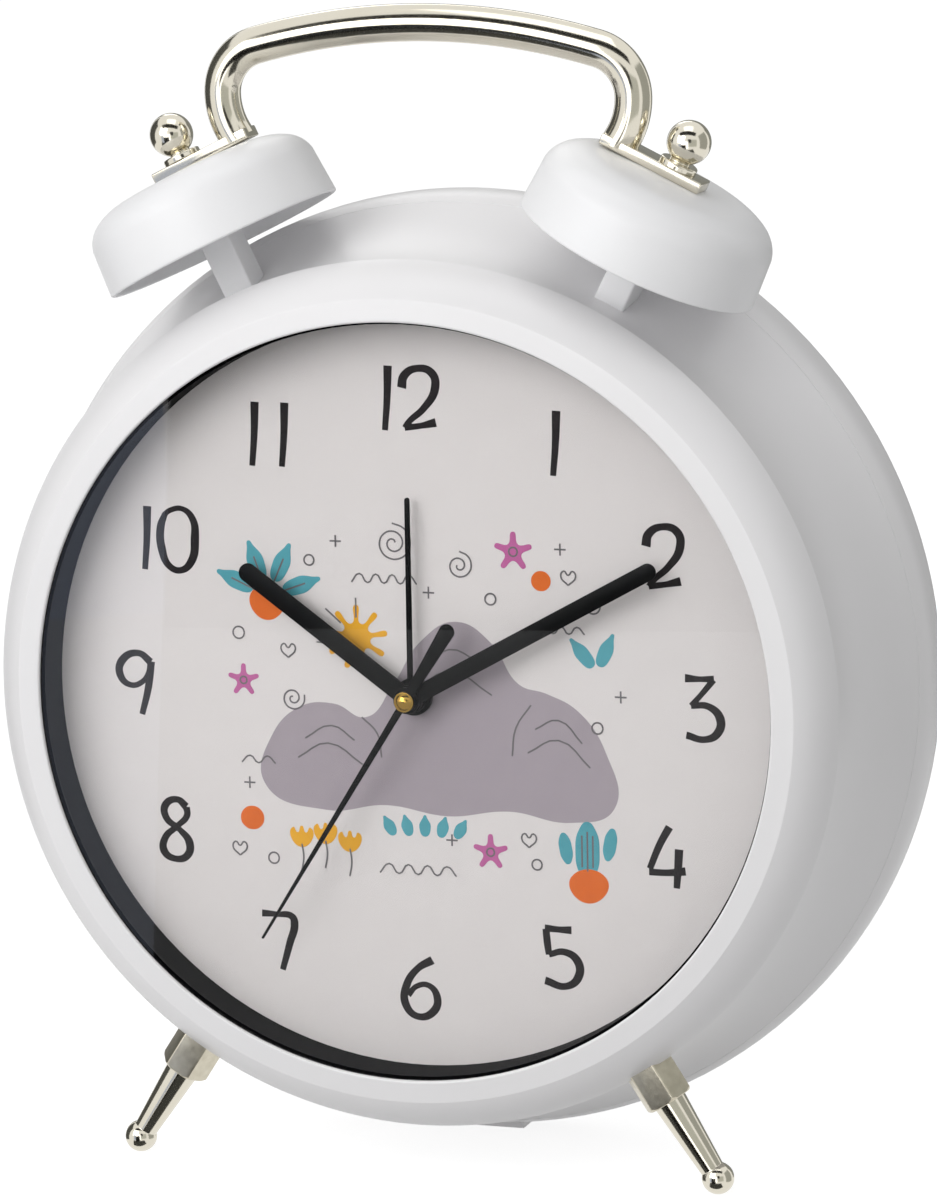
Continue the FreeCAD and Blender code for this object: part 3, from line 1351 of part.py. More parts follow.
def make_going_train():
    """Rotor, intermediate wheel, second arbor, third wheel and centre wheel."""
    thin = sizes.thin_wheel_thickness
    third_module = sizes.third_module
    step_module = sizes.step_module
    centre_module = 2 * THIRD_REACH / (TEETH["centre_wheel"] + TEETH["third_pinion"])
    spare = sizes.tooth_spare
    start = LAYERS["train_plate"] + spare
    end = MOVEMENT_CEILING + sizes.pivot_depth - sizes.easy_gap
    arbor = sizes.arbor_radius
    to_third = aim_between(CENTRE_SPOT, THIRD_SPOT)
    to_step = aim_between(CENTRE_SPOT, INTERMEDIATE_SPOT)

    centre = toothed(TEETH["centre_wheel"], centre_module, LAYERS["centre"], thin, CENTRE_SPOT,
                     to_third)
    centre = centre.cut(rod(MINUTE_TUBE + sizes.pin_gap, 0.0, LAYERS["third"],
                            CENTRE_SPOT))

    third = toothed(TEETH["third_pinion"], centre_module, LAYERS["centre"] - spare,
                    LAYERS["third"] - LAYERS["centre"] + spare, THIRD_SPOT,
                    meshing_aim(TEETH["third_pinion"], to_third))
    third = third.fuse(toothed(TEETH["third_wheel"], third_module, LAYERS["third"], thin,
                               THIRD_SPOT, meshing_aim(TEETH["third_wheel"], to_third)))
    third = third.fuse(rod(arbor, start, end, THIRD_SPOT))

    second = rod(sizes.second_arbor_radius, SECOND_HAND_FRONT, end,
                 CENTRE_SPOT)
    second = second.fuse(toothed(TEETH["second_pinion"], third_module, LAYERS["third"] - spare,
                                 LAYERS["second"] - LAYERS["third"] + spare, CENTRE_SPOT,
                                 to_third))
    second = second.fuse(toothed(TEETH["second_wheel"], step_module, LAYERS["second"], thin,
                                 CENTRE_SPOT, to_step))

    middle = toothed(TEETH["intermediate_pinion"], step_module, LAYERS["second"] - spare,
                     LAYERS["intermediate"] - LAYERS["second"] + spare, INTERMEDIATE_SPOT,
                     meshing_aim(TEETH["intermediate_pinion"], to_step))
    middle = middle.fuse(toothed(TEETH["intermediate_wheel"], step_module,
                                 LAYERS["intermediate"], thin, INTERMEDIATE_SPOT, to_step))
    middle = middle.fuse(rod(arbor, start, end, INTERMEDIATE_SPOT))

    rotor = toothed(TEETH["rotor_pinion"], step_module, LAYERS["intermediate"] - spare,
                    LAYERS["rotor"] - LAYERS["intermediate"] + spare, ROTOR_SPOT,
                    meshing_aim(TEETH["rotor_pinion"], to_step))
    rotor = rotor.fuse(rod(sizes.magnet_radius, LAYERS["rotor"],
                           LAYERS["rotor"] + sizes.magnet_length, ROTOR_SPOT))
    rotor = rotor.fuse(rod(arbor, start, end, ROTOR_SPOT))
    return [
        fixed_shape("centre_wheel", centre, place_in_case),
        fixed_shape("third_wheel", third, place_in_case),
        fixed_shape("second_arbor", second, place_in_case),
        fixed_shape("intermediate_wheel", middle, place_in_case),
        fixed_shape("rotor", rotor, place_in_case),
    ]


def make_motor_and_board():
    """Stator round the rotor, coil on its legs, and the circuit board."""
    left, right = sizes.stator_left, sizes.stator_right
    leg = sizes.stator_leg
    drop = sizes.coil_drop
    top = sizes.stator_top
    yoke = top + sizes.stator_yoke
    tail = drop + sizes.stator_tail
    stator = new_body("stator")
    plate = sketch_on(stator, lift=LAYERS["stator"])
    draw(plate, [(left, top), (right, top), (right, tail), (right - leg, tail),
                 (right - leg, yoke), (left + leg, yoke), (left + leg, tail), (left, tail)])
    draw_circle(plate, *ROTOR_SPOT, sizes.magnet_radius + 2 * sizes.easy_gap)
    draw_circle(plate, *INTERMEDIATE_SPOT, sizes.arbor_radius + 2 * sizes.easy_gap)
    pad(stator, plate, sizes.stator_thickness)
    place_in_case(stator)

    middle = (left + right) / 2
    level = (LAYERS["stator"] + sizes.stator_thickness / 2).value
    core_half = (right - left) / 2 - leg
    coil_start = Vector((middle - sizes.coil_length / 2).value, drop.value, level)
    coil = Part.makeCylinder(sizes.coil_radius.value, sizes.coil_length.value, coil_start,
                             Vector(1, 0, 0))
    core_start = Vector((middle - core_half).value, drop.value, level)
    core = Part.makeCylinder(sizes.coil_core_radius.value, (2 * core_half).value, core_start,
                             Vector(1, 0, 0))
    winding = fixed_shape("coil", coil.fuse(core), place_in_case)

    board = new_body("circuit_board")
    outline = draw_box(sketch_on(board, lift=LAYERS["board"]), -sizes.board_left,
                       sizes.board_width - sizes.board_left, sizes.board_top,
                       sizes.board_top + sizes.board_height)
    pad(board, outline, sizes.board_thickness)
    place_in_case(board)
    return [stator, winding, board]


def make_knob(label, spot):
    """Setting knob with a grooved edge, pushed on its shaft."""
    body = new_body(label)
    start = FLOOR_BACK + sizes.knob_gap
    face = draw_circle(sketch_on(body, lift=start), 0, 0, sizes.knob_radius)
    pad(body, face, sizes.knob_thickness)
    bore = draw_circle(sketch_on(body, lift=start), 0, 0, sizes.setting_radius)
    pocket(body, bore, sizes.knob_bore, towards_back=True)
    groove = sketch_on(body, lift=start)
    draw_circle(groove, sizes.knob_radius, 0, sizes.knob_groove_radius)
    cut = pocket(body, groove, sizes.knob_thickness, towards_back=True)
    document.recompute()
    ring = body.newObject("PartDesign::PolarPattern", "Grip")
    ring.Originals = [cut]
    axis = next(f for f in body.Origin.OriginFeatures if f.Role == "Z_Axis")
    ring.Axis = (axis, [""])
    ring.Angle = 360
    ring.Occurrences = KNOB_GROOVES
    body.Tip = ring
    body.Placement = FreeCAD.Placement(Vector(0, 0, 0), FreeCAD.Rotation(Vector(1, 0, 0), -90))
    bind(body, "Placement.Base.x", spot[0])
    bind(body, "Placement.Base.y", -MID_DEPTH)
    bind(body, "Placement.Base.z", AXIS_HEIGHT - spot[1])
    return body


def build_all():
    """Make every piece and give the list of those that are written out."""
    drum_form = make_drum_form()
    nut_start = sizes.dial_depth - sizes.washer_thickness - sizes.nut_thickness
    bush_room = sizes.bush_radius + sizes.running_gap
    pieces = [
        make_bezel(),
        disc("lens", LENS_RADIUS, LENS_FRONT, sizes.lens_thickness),
        disc("spacer_ring", LENS_RADIUS, LENS_BACK, sizes.dial_depth - LENS_BACK,
             LENS_RADIUS - sizes.wall_thickness),
        disc("dial", LENS_RADIUS, sizes.dial_depth, sizes.dial_thickness,
             sizes.bush_radius + sizes.bush_gap),
        make_front_housing(),
        make_rear_cover(),
        make_cover_screws(),
        make_battery_door(),
        make_battery(),
        make_alarm_switch(),
        make_buzzer(),
        make_post_screws(),
        make_handle(),
        disc("fixing_nut", sizes.nut_radius, nut_start, sizes.nut_thickness, bush_room),
        disc("fixing_washer", sizes.nut_radius, nut_start + sizes.nut_thickness,
             sizes.washer_thickness, bush_room),
        make_knob("time_set_knob", TIME_SETTING),
        make_knob("alarm_set_knob", ALARM_SETTING),
    ]
    pieces += make_contacts()
    for name, side in (("left", -1), ("right", 1)):
        pieces.append(make_bell(f"{name}_bell", side))
        pieces.append(make_post(f"{name}_post", side, drum_form))
        pieces.append(make_finial(f"{name}_finial", side))
        pieces.append(make_foot(f"{name}_foot", side, drum_form))
    pieces += make_hands()
    pieces += make_movement_shells()
    pieces += make_motion_work()
    pieces += make_going_train()
    pieces += make_motor_and_board()
    return pieces


def check_document(pieces):
    """Stop if any object failed or any piece is empty or broken."""
    for thing in document.Objects:
        if "Invalid" in thing.State or "Error" in thing.State:
            raise RuntimeError(f"{thing.Label} did not build: {thing.State}")
    for piece in pieces:
        if piece.Shape.isNull() or not piece.Shape.isValid() or not piece.Shape.Solids:
            raise RuntimeError(f"{piece.Label} has no valid solid")


def write_parts(pieces):
    """Write one STEP file for each piece, named by its label."""
    os.makedirs("parts", exist_ok=True)
    for piece in pieces:
        piece.Shape.exportStep(os.path.join("parts", f"{piece.Label}.step"))
        box = piece.Shape.BoundBox
        print(f"{piece.Label:18s} solids {len(piece.Shape.Solids)} volume {piece.Shape.Volume:10.1f}"
              f" x {box.XMin:7.2f} {box.XMax:7.2f} y {box.YMin:7.2f} {box.YMax:7.2f}"
              f" z {box.ZMin:7.2f} {box.ZMax:7.2f}")


clock_pieces = build_all()
document.recompute()
check_document(clock_pieces)
write_parts(clock_pieces)
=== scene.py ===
"""Jumbo twin-bell alarm clock: its visible pieces, finishes, light and camera.

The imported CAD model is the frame. Pieces are drawn in millimetres in their own frames and set
down in metres where the CAD says. The dial faces -Y, +Z is up.
"""

from __future__ import annotations

import json
import logging
import math
from collections.abc import Callable, Sequence
from dataclasses import dataclass, field
from enum import Enum

import bpy
from mathutils import Matrix, Vector

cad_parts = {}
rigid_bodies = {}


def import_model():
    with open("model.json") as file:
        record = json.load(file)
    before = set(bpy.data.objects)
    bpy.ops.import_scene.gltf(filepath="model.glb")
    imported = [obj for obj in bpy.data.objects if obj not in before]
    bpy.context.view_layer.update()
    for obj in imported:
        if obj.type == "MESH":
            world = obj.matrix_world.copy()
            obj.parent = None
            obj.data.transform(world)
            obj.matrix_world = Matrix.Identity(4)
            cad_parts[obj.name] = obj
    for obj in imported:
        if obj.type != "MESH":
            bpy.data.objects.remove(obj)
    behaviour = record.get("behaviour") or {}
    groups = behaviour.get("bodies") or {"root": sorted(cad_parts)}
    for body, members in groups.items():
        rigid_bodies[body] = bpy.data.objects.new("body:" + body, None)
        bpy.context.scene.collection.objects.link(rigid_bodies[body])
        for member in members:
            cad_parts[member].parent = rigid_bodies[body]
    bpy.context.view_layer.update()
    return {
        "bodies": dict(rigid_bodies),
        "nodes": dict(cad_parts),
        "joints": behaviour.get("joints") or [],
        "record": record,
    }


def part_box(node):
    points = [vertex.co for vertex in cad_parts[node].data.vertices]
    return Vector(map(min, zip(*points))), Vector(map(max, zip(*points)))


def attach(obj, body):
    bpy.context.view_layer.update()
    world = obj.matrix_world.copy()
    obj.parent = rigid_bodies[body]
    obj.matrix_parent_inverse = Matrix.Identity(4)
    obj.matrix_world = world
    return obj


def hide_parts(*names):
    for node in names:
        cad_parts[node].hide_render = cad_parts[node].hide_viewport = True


LOG = logging.getLogger("twin_bell_clock")

MM = 0.001

Point = tuple[float, float]
Piece = bpy.types.Object


class Side(Enum):
    """Left or right of the clock, as seen by someone who reads the dial."""

    LEFT = -1
    RIGHT = 1

    @property
    def word(self) -> str:
        """The side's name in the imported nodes."""
        return self.name.lower()


@dataclass(frozen=True)
class Datum:
    """Where the case axis meets the bezel's front plane, in metres in the row frame."""

    front: float
    height: float

    @classmethod
    def read(cls) -> Datum:
        """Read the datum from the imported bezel."""
        low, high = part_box("bezel")
        return cls(low.y, (low.z + high.z) / 2)

    def axis_point(self, depth: float) -> Matrix:
        """Move to a depth in millimetres on the case axis, and shrink millimetres to metres.

        Args:
            depth: distance behind the bezel's front plane.

        Returns:
            The matrix that sets down a piece drawn in millimetres.
        """
        spot = Vector((0.0, self.front + depth * MM, self.height))
        return Matrix.Translation(spot) @ Matrix.Scale(MM, 4)

    def case(self) -> Matrix:
        """Case frame: local Z runs back into the case, X right, Y down."""
        return self.axis_point(0.0) @ Matrix.Rotation(-math.pi / 2, 4, "X")

    def face(self, depth: float, clock_angle: float = 0.0) -> Matrix:
        """Frame of things seen on the dial: X right, Y up, Z towards the viewer.

        Args:
            depth: distance of the frame's plane behind the bezel's front plane.
            clock_angle: clockwise turn in degrees, as the viewer sees it.

        Returns:
            The frame's matrix.
        """
        upright = self.axis_point(depth) @ Matrix.Rotation(math.pi / 2, 4, "X")
        return upright @ Matrix.Rotation(-math.radians(clock_angle), 4, "Z")

    def spoke(self, depth: float, lean: float) -> Matrix:
        """Frame whose local Z leaves the case axis at a lean from straight up, in degrees."""
        return self.axis_point(depth) @ Matrix.Rotation(math.radians(lean), 4, "Y")


# Drawing


def arc_points(first: Point, last: Point, radius: float, side: int, steps: int) -> list[Point]:
    """Points along the short arc from first to last, without first.

    Args:
        first: start of the arc.
        last: end of the arc.
        radius: radius of the arc.
        side: 1 if the arc turns left on its way, -1 if it turns right.
        steps: number of points.

    Returns:
        The points, of which the last is the arc's end.
    """
    start, end = Vector(first), Vector(last)
    chord = end - start
    rise = math.sqrt(max(radius * radius - chord.length_squared / 4, 0.0))
    centre = (start + end) / 2 + Vector((-chord.y, chord.x)).normalized() * rise * side
    from_centre = start - centre
    turn = side * 2 * math.asin(min(1.0, chord.length / 2 / radius))
    spots = []
    for step in range(1, steps + 1):
        angle = turn * step / steps
        cos, sin = math.cos(angle), math.sin(angle)
        spots.append((centre.x + from_centre.x * cos - from_centre.y * sin,
                      centre.y + from_centre.x * sin + from_centre.y * cos))
    return spots


@dataclass
class Outline:
    """A line drawn point by point, whose corners can be softened.

    A holding point beside each soft corner keeps the flat next to it flat in the shading.
    """

    points: list[tuple[float, float, float]] = field(default_factory=list)
    side_share: float = 0.45
    hold_share: float = 0.4
    hold_room: float = 2.5

    def to(self, x: float, y: float, soft: float = 0.0) -> Outline:
        """Go straight to a point, with a corner radius there."""
        self.points.append((x, y, soft))
        return self

    def bend(self, x: float, y: float, radius: float, side: int, steps: int = 12,
             soft: float = 0.0) -> Outline:
        """Go to a point on an arc of a radius; side 1 turns left, -1 right."""
        spots = arc_points(self.points[-1][:2], (x, y), radius, side, steps)
        self.points += [(*spot, 0.0) for spot in spots[:-1]] + [(x, y, soft)]
        return self

    def drawn(self, closed: bool, steps: int = 5) -> list[Point]:
        """The line's points with its soft corners rounded.

        Args:
            closed: whether the last point joins the first.
            steps: number of segments in a soft corner.

        Returns:
            The points.
        """
        spots: list[Point] = []
        count = len(self.points)
        for number, (x, y, soft) in enumerate(self.points):
            inner = closed or 0 < number < count - 1
            if soft <= 0 or not inner:
                spots.append((x, y))
                continue
            here = Vector((x, y))
            back = Vector(self.points[number - 1][:2]) - here
            ahead = Vector(self.points[(number + 1) % count][:2]) - here
            half = back.angle(ahead) / 2
            reach = min(soft / math.tan(half),
                        self.side_share * min(back.length, ahead.length))
            start = here + back.normalized() * reach
            end = here + ahead.normalized() * reach
            radius = reach * math.tan(half)
            turn = back.x * ahead.y - back.y * ahead.x
            if back.length > self.hold_room * reach:
                spots.append(tuple(start + back.normalized() * reach * self.hold_share))
            spots.append(tuple(start))
            spots += arc_points(tuple(start), tuple(end), radius, -1 if turn > 0 else 1, steps)
            if ahead.length > self.hold_room * reach:
                spots.append(tuple(end + ahead.normalized() * reach * self.hold_share))
        return spots


class Bench:
    """Modelling moves made with Blender's own operators."""

    MERGE = 0.0005
    SMOOTH_ANGLE = 32.0
    BAR_POINTS = 48
    HAIR = 0.001

    @staticmethod
    def clear() -> None:
        """Leave edit mode and deselect everything."""
        if bpy.context.object is not None and bpy.context.object.mode != "OBJECT":
            bpy.ops.object.mode_set(mode="OBJECT")
        bpy.ops.object.select_all(action="DESELECT")

    @classmethod
    def pick(cls, *pieces: Piece) -> None:
        """Select only these pieces and make the first one active."""
        cls.clear()
        for piece in pieces:
            piece.select_set(True)
        bpy.context.view_layer.objects.active = pieces[0]

    @classmethod
    def edit(cls, piece: Piece, select: str = "SELECT") -> None:
        """Open a piece in edit mode with all or none of it selected."""
        cls.pick(piece)
        bpy.ops.object.mode_set(mode="EDIT")
        bpy.ops.mesh.select_mode(type="VERT")
        bpy.ops.mesh.select_all(action=select)

    @classmethod
    def disc(cls, name: str, corners: int, radius: float, filled: bool = True,
             turn: Sequence[float] = (0.0, 0.0, 0.0)) -> Piece:
        """Start a piece as a circle about the origin.

        Args:
            name: the piece's name.
            corners: number of vertices.
            radius: distance of the vertices from the origin.
            filled: whether the circle has a face.
            turn: rotation about X, Y and Z, in radians.

        Returns:
            The new piece.
        """
        cls.clear()
        bpy.ops.mesh.primitive_circle_add(vertices=corners, radius=radius, rotation=turn,
                                          fill_type="NGON" if filled else "NOTHING")
        piece = bpy.context.object
        piece.name = piece.data.name = name
        bpy.ops.object.transform_apply(location=True, rotation=True, scale=True)
        return piece

    @staticmethod
    def extrude(x: float, y: float, z: float) -> None:
        """Extrude what is selected in edit mode."""
        bpy.ops.mesh.extrude_region_move(TRANSFORM_OT_translate={"value": (x, y, z)})

    @classmethod
    def mark(cls, piece: Piece, chosen: Callable[[Vector], bool], kind: str = "VERT") -> None:
        """Select the vertices, edges or faces whose place passes a test, and stay in edit mode.

        Args:
            piece: the piece, in the frame it is drawn in.
            chosen: the test of a vertex, of an edge's middle, or of a face's middle.
            kind: VERT, EDGE or FACE.
        """
        cls.edit(piece, "DESELECT")
        bpy.ops.mesh.select_mode(type=kind)
        bpy.ops.object.mode_set(mode="OBJECT")
        mesh = piece.data
        if kind == "VERT":
            for vertex in mesh.vertices:
                vertex.select = chosen(vertex.co)
        elif kind == "EDGE":
            for edge in mesh.edges:
                first, last = (mesh.vertices[number].co for number in edge.vertices)
                edge.select = chosen((first + last) / 2)
        else:
            for face in mesh.polygons:
                face.select = chosen(face.center)
        bpy.ops.object.mode_set(mode="EDIT")

    @classmethod
    def finish(cls, piece: Piece, placing: Matrix, angle: float = SMOOTH_ANGLE) -> Piece:
        """Merge doubles, face outwards, set the piece down and shade it.

        Args:
            piece: a closed piece drawn in millimetres.
            placing: the frame it goes in.
            angle: edges sharper than this, in degrees, stay crisp.

        Returns:
            The same piece, with its place in its mesh.
        """
        cls.edit(piece)
        bpy.ops.mesh.remove_doubles(threshold=cls.MERGE)
        bpy.ops.mesh.normals_make_consistent(inside=False)
        cls.pick(piece)
        piece.matrix_world = placing
        bpy.ops.object.transform_apply(location=True, rotation=True, scale=True)
        bpy.ops.object.shade_smooth_by_angle(angle=math.radians(angle))
        cls.clear()
        return piece

    @classmethod
    def turn(cls, name: str, profile: Sequence[Point], placing: Matrix, segments: int = 96,
             ring: bool = False, angle: float = SMOOTH_ANGLE) -> Piece:
        """Turn a profile about its frame's Z axis, as on a lathe.

        Args:
            name: the piece's name.
            profile: radius and height of each ring, none of them on the axis.
            placing: the frame it goes in.
            segments: number of faces round the piece.
            ring: whether the profile closes on itself and leaves a hole.
            angle: edges sharper than this, in degrees, stay crisp.

        Returns:
            The finished piece.
        """
        radius, height = profile[0]
        piece = cls.disc(name, segments, radius, filled=not ring)
        cls.edit(piece)
        bpy.ops.transform.translate(value=(0.0, 0.0, height))
        rings = list(profile[1:]) + ([profile[0]] if ring else [])
        for next_radius, next_height in rings:
            cls.extrude(0.0, 0.0, next_height - height)
            scale = next_radius / radius
            bpy.ops.transform.resize(value=(scale, scale, 1.0), center_override=(0.0, 0.0, 0.0))
            radius, height = next_radius, next_height
        return cls.finish(piece, placing, angle)

    @classmethod
    def modify(cls, piece: Piece, kind: str, **settings: object) -> None:
        """Add a modifier with its settings and apply it."""
        cls.pick(piece)
        modifier = piece.modifiers.new(kind.title(), kind)
        for name, value in settings.items():
            setattr(modifier, name, value)
        bpy.ops.object.modifier_apply(modifier=modifier.name)

    @classmethod
    def cut(cls, piece: Piece, cutter: Piece, operation: str = "DIFFERENCE") -> None:
        """Cut a piece with another one, which is used up."""
        cls.modify(piece, "BOOLEAN", operation=operation, object=cutter, solver="EXACT")
        bpy.data.objects.remove(cutter)

    @classmethod
    def join(cls, *pieces: Piece) -> Piece:
        """Join pieces into the first one."""
        cls.pick(*pieces)
        bpy.ops.object.join()
        cls.clear()
        return pieces[0]

    @classmethod
    def block(cls, name: str, low: Sequence[float], high: Sequence[float]) -> Piece:
        """A box between two corners, drawn by extruding a rectangle.

        Args:
            name: the piece's name.
            low: the corner with the smallest coordinates.
            high: the opposite corner.

        Returns:
            The box, still in its own frame.
        """
        cls.clear()
        bpy.ops.mesh.primitive_plane_add(size=1.0)
        piece = bpy.context.object
        piece.name = piece.data.name = name
        cls.edit(piece)
        bpy.ops.transform.resize(value=(high[0] - low[0], high[1] - low[1], 1.0))
        bpy.ops.transform.translate(value=((low[0] + high[0]) / 2, (low[1] + high[1]) / 2,
                                           low[2]))
        cls.extrude(0.0, 0.0, high[2] - low[2])
        cls.clear()
        return piece

    @classmethod
    def round_edges(cls, piece: Piece, width: float, segments: int = 4,
                    angle: float = 40.0) -> None:
        """Round every edge that is sharper than an angle in degrees."""
        cls.modify(piece, "BEVEL", width=width, segments=segments, limit_method="ANGLE",
                   angle_limit=math.radians(angle))

    @classmethod
    def bar(cls, name: str, start: float, end: float, start_radius: float, end_radius: float,
            thickness: float, soften: float = 0.0) -> Piece:
        """A flat bar with round ends, along local Y, drawn from a circle pulled apart.

        Args:
            name: the piece's name.
            start: place of the first end's centre along Y.
            end: place of the other end's centre.
            start_radius: half the width at the start.
            end_radius: half the width at the end.
            thickness: height of the bar along Z.
            soften: width of the bevel round its top edge.

        Returns:
            The bar, still in its own frame.
        """
        piece = cls.disc(name, cls.BAR_POINTS, start_radius)
        sign = 1.0 if end > start else -1.0
        cls.mark(piece, lambda spot: spot.y * sign > start_radius * cls.HAIR)
        bpy.ops.transform.translate(value=(0.0, end - start, 0.0))
        scale = end_radius / start_radius
        bpy.ops.transform.resize(value=(scale, scale, 1.0),
                                 center_override=(0.0, end - start, 0.0))
        bpy.ops.mesh.select_all(action="SELECT")
        bpy.ops.transform.translate(value=(0.0, start, 0.0))
        cls.extrude(0.0, 0.0, thickness)
        if soften > 0:
            cls.mark(piece, lambda spot: spot.z > thickness - cls.HAIR, "EDGE")
            bpy.ops.mesh.bevel(offset=soften, segments=3, affect="EDGES")
        cls.clear()
        return piece


# Finishes


def linear(colour: str) -> tuple[float, float, float, float]:
    """Turn an sRGB hex colour to the linear values that shaders take."""
    values = [int(colour[start:start + 2], 16) / 255 for start in (1, 3, 5)]
    parts = [v / 12.92 if v <= 0.04045 else ((v + 0.055) / 1.055) ** 2.4 for v in values]
    return (*parts, 1.0)


def add_node(tree: bpy.types.NodeTree, kind: str, settings: dict[str, object] | None = None,
             links: dict[str | int, bpy.types.NodeSocket] | None = None) -> bpy.types.Node:
    """Add a node, set its properties and sockets, and link what feeds it.

    Args:
        tree: the node tree.
        kind: the node's type name without its ShaderNode prefix.
        settings: values by property name or input name.
        links: output sockets by the name or number of the input they feed.

    Returns:
        The new node.
    """
    node = tree.nodes.new("ShaderNode" + kind)
    for name, value in (settings or {}).items():
        if name in node.inputs:
            node.inputs[name].default_value = value
        else:
            setattr(node, name, value)
    for name, socket in (links or {}).items():
        tree.links.new(socket, node.inputs[name])
    return node


def blank(name: str) -> tuple[bpy.types.Material, bpy.types.NodeTree]:
    """A material with an empty node tree."""
    material = bpy.data.materials.new(name)
    material.use_nodes = True
    material.node_tree.nodes.clear()
    return material, material.node_tree


@dataclass(frozen=True)
class Finish:
    """A surface with slight shifts of colour and shine, and a fine relief.

    Patches shift the colour and grain shifts the shine and the relief; both are sized in mm.
    """

    name: str
    colour: str
    other: str
    roughness: float
    unevenness: float = 0.05
    patch_mm: float = 12.0
    grain_mm: float = 0.4
    grain_height_mm: float = 0.004
    metallic: float = 0.0
    ior: float = 1.5
    gleam: float = 0.5
    coat: float = 0.0
    glow_through: float = 0.0
    stretch: tuple[float, float, float] = (1.0, 1.0, 1.0)
    patch_detail: float = 3.0
    grain_detail: float = 2.0
    least_roughness: float = 0.01
    coat_roughness: float = 0.05
    glow_reach_mm: float = 2.0

    def material(self) -> bpy.types.Material:
        """Build the finish as a material on Object coordinates."""
        material, tree = blank(self.name)
        place = add_node(tree, "TexCoord").outputs["Object"]
        patches = add_node(tree, "TexNoise", {
            "Scale": 1 / (self.patch_mm * MM), "Detail": self.patch_detail}, {"Vector": place})
        drawn = add_node(tree, "Mapping", {"Scale": self.stretch}, {"Vector": place})
        grain = add_node(tree, "TexNoise", {
            "Scale": 1 / (self.grain_mm * MM), "Detail": self.grain_detail},
            {"Vector": drawn.outputs["Vector"]})
        # A colour Mix node has its colours on inputs 6 and 7, and its result on output 2
        tint = add_node(tree, "Mix", {"data_type": "RGBA"}, {"Factor": patches.outputs["Fac"]})
        tint.inputs[6].default_value = linear(self.colour)
        tint.inputs[7].default_value = linear(self.other)
        shine = add_node(tree, "MapRange", {
            "To Min": max(self.roughness - self.unevenness, self.least_roughness),
            "To Max": self.roughness + self.unevenness}, {"Value": grain.outputs["Fac"]})
        relief = add_node(tree, "Bump", {"Strength": 1.0, "Distance": self.grain_height_mm * MM},
                          {"Height": grain.outputs["Fac"]})
        surface = add_node(tree, "BsdfPrincipled", {
            "Metallic": self.metallic, "IOR": self.ior, "Coat Weight": self.coat,
            "Specular IOR Level": self.gleam, "Coat Roughness": self.coat_roughness,
            "Subsurface Weight": self.glow_through,
            "Subsurface Radius": (self.glow_reach_mm,) * 3, "Subsurface Scale": MM,
        }, {"Base Color": tint.outputs[2], "Roughness": shine.outputs["Result"],
            "Normal": relief.outputs["Normal"]})
        add_node(tree, "OutputMaterial", links={"Surface": surface.outputs["BSDF"]})
        return material


@dataclass(frozen=True)
class ClearLens:
    """Clear acrylic pane: colourless, shiny, lets the lamps through to the dial."""

    name: str = "clear_acrylic"
    ior: float = 1.49

    def material(self) -> bpy.types.Material:
        """Build the pane's material."""
        material, tree = blank(self.name)
        pane = add_node(tree, "BsdfPrincipled", {
            "Base Color": linear("#FDFEFE"), "Roughness": 0.0, "IOR": self.ior,
            "Transmission Weight": 1.0})
        through = add_node(tree, "BsdfTransparent")
        ray = add_node(tree, "LightPath")
        mix = add_node(tree, "MixShader", links={
            0: ray.outputs["Is Shadow Ray"], 1: pane.outputs["BSDF"], 2: through.outputs["BSDF"]})
        add_node(tree, "OutputMaterial", links={"Surface": mix.outputs["Shader"]})
        return material


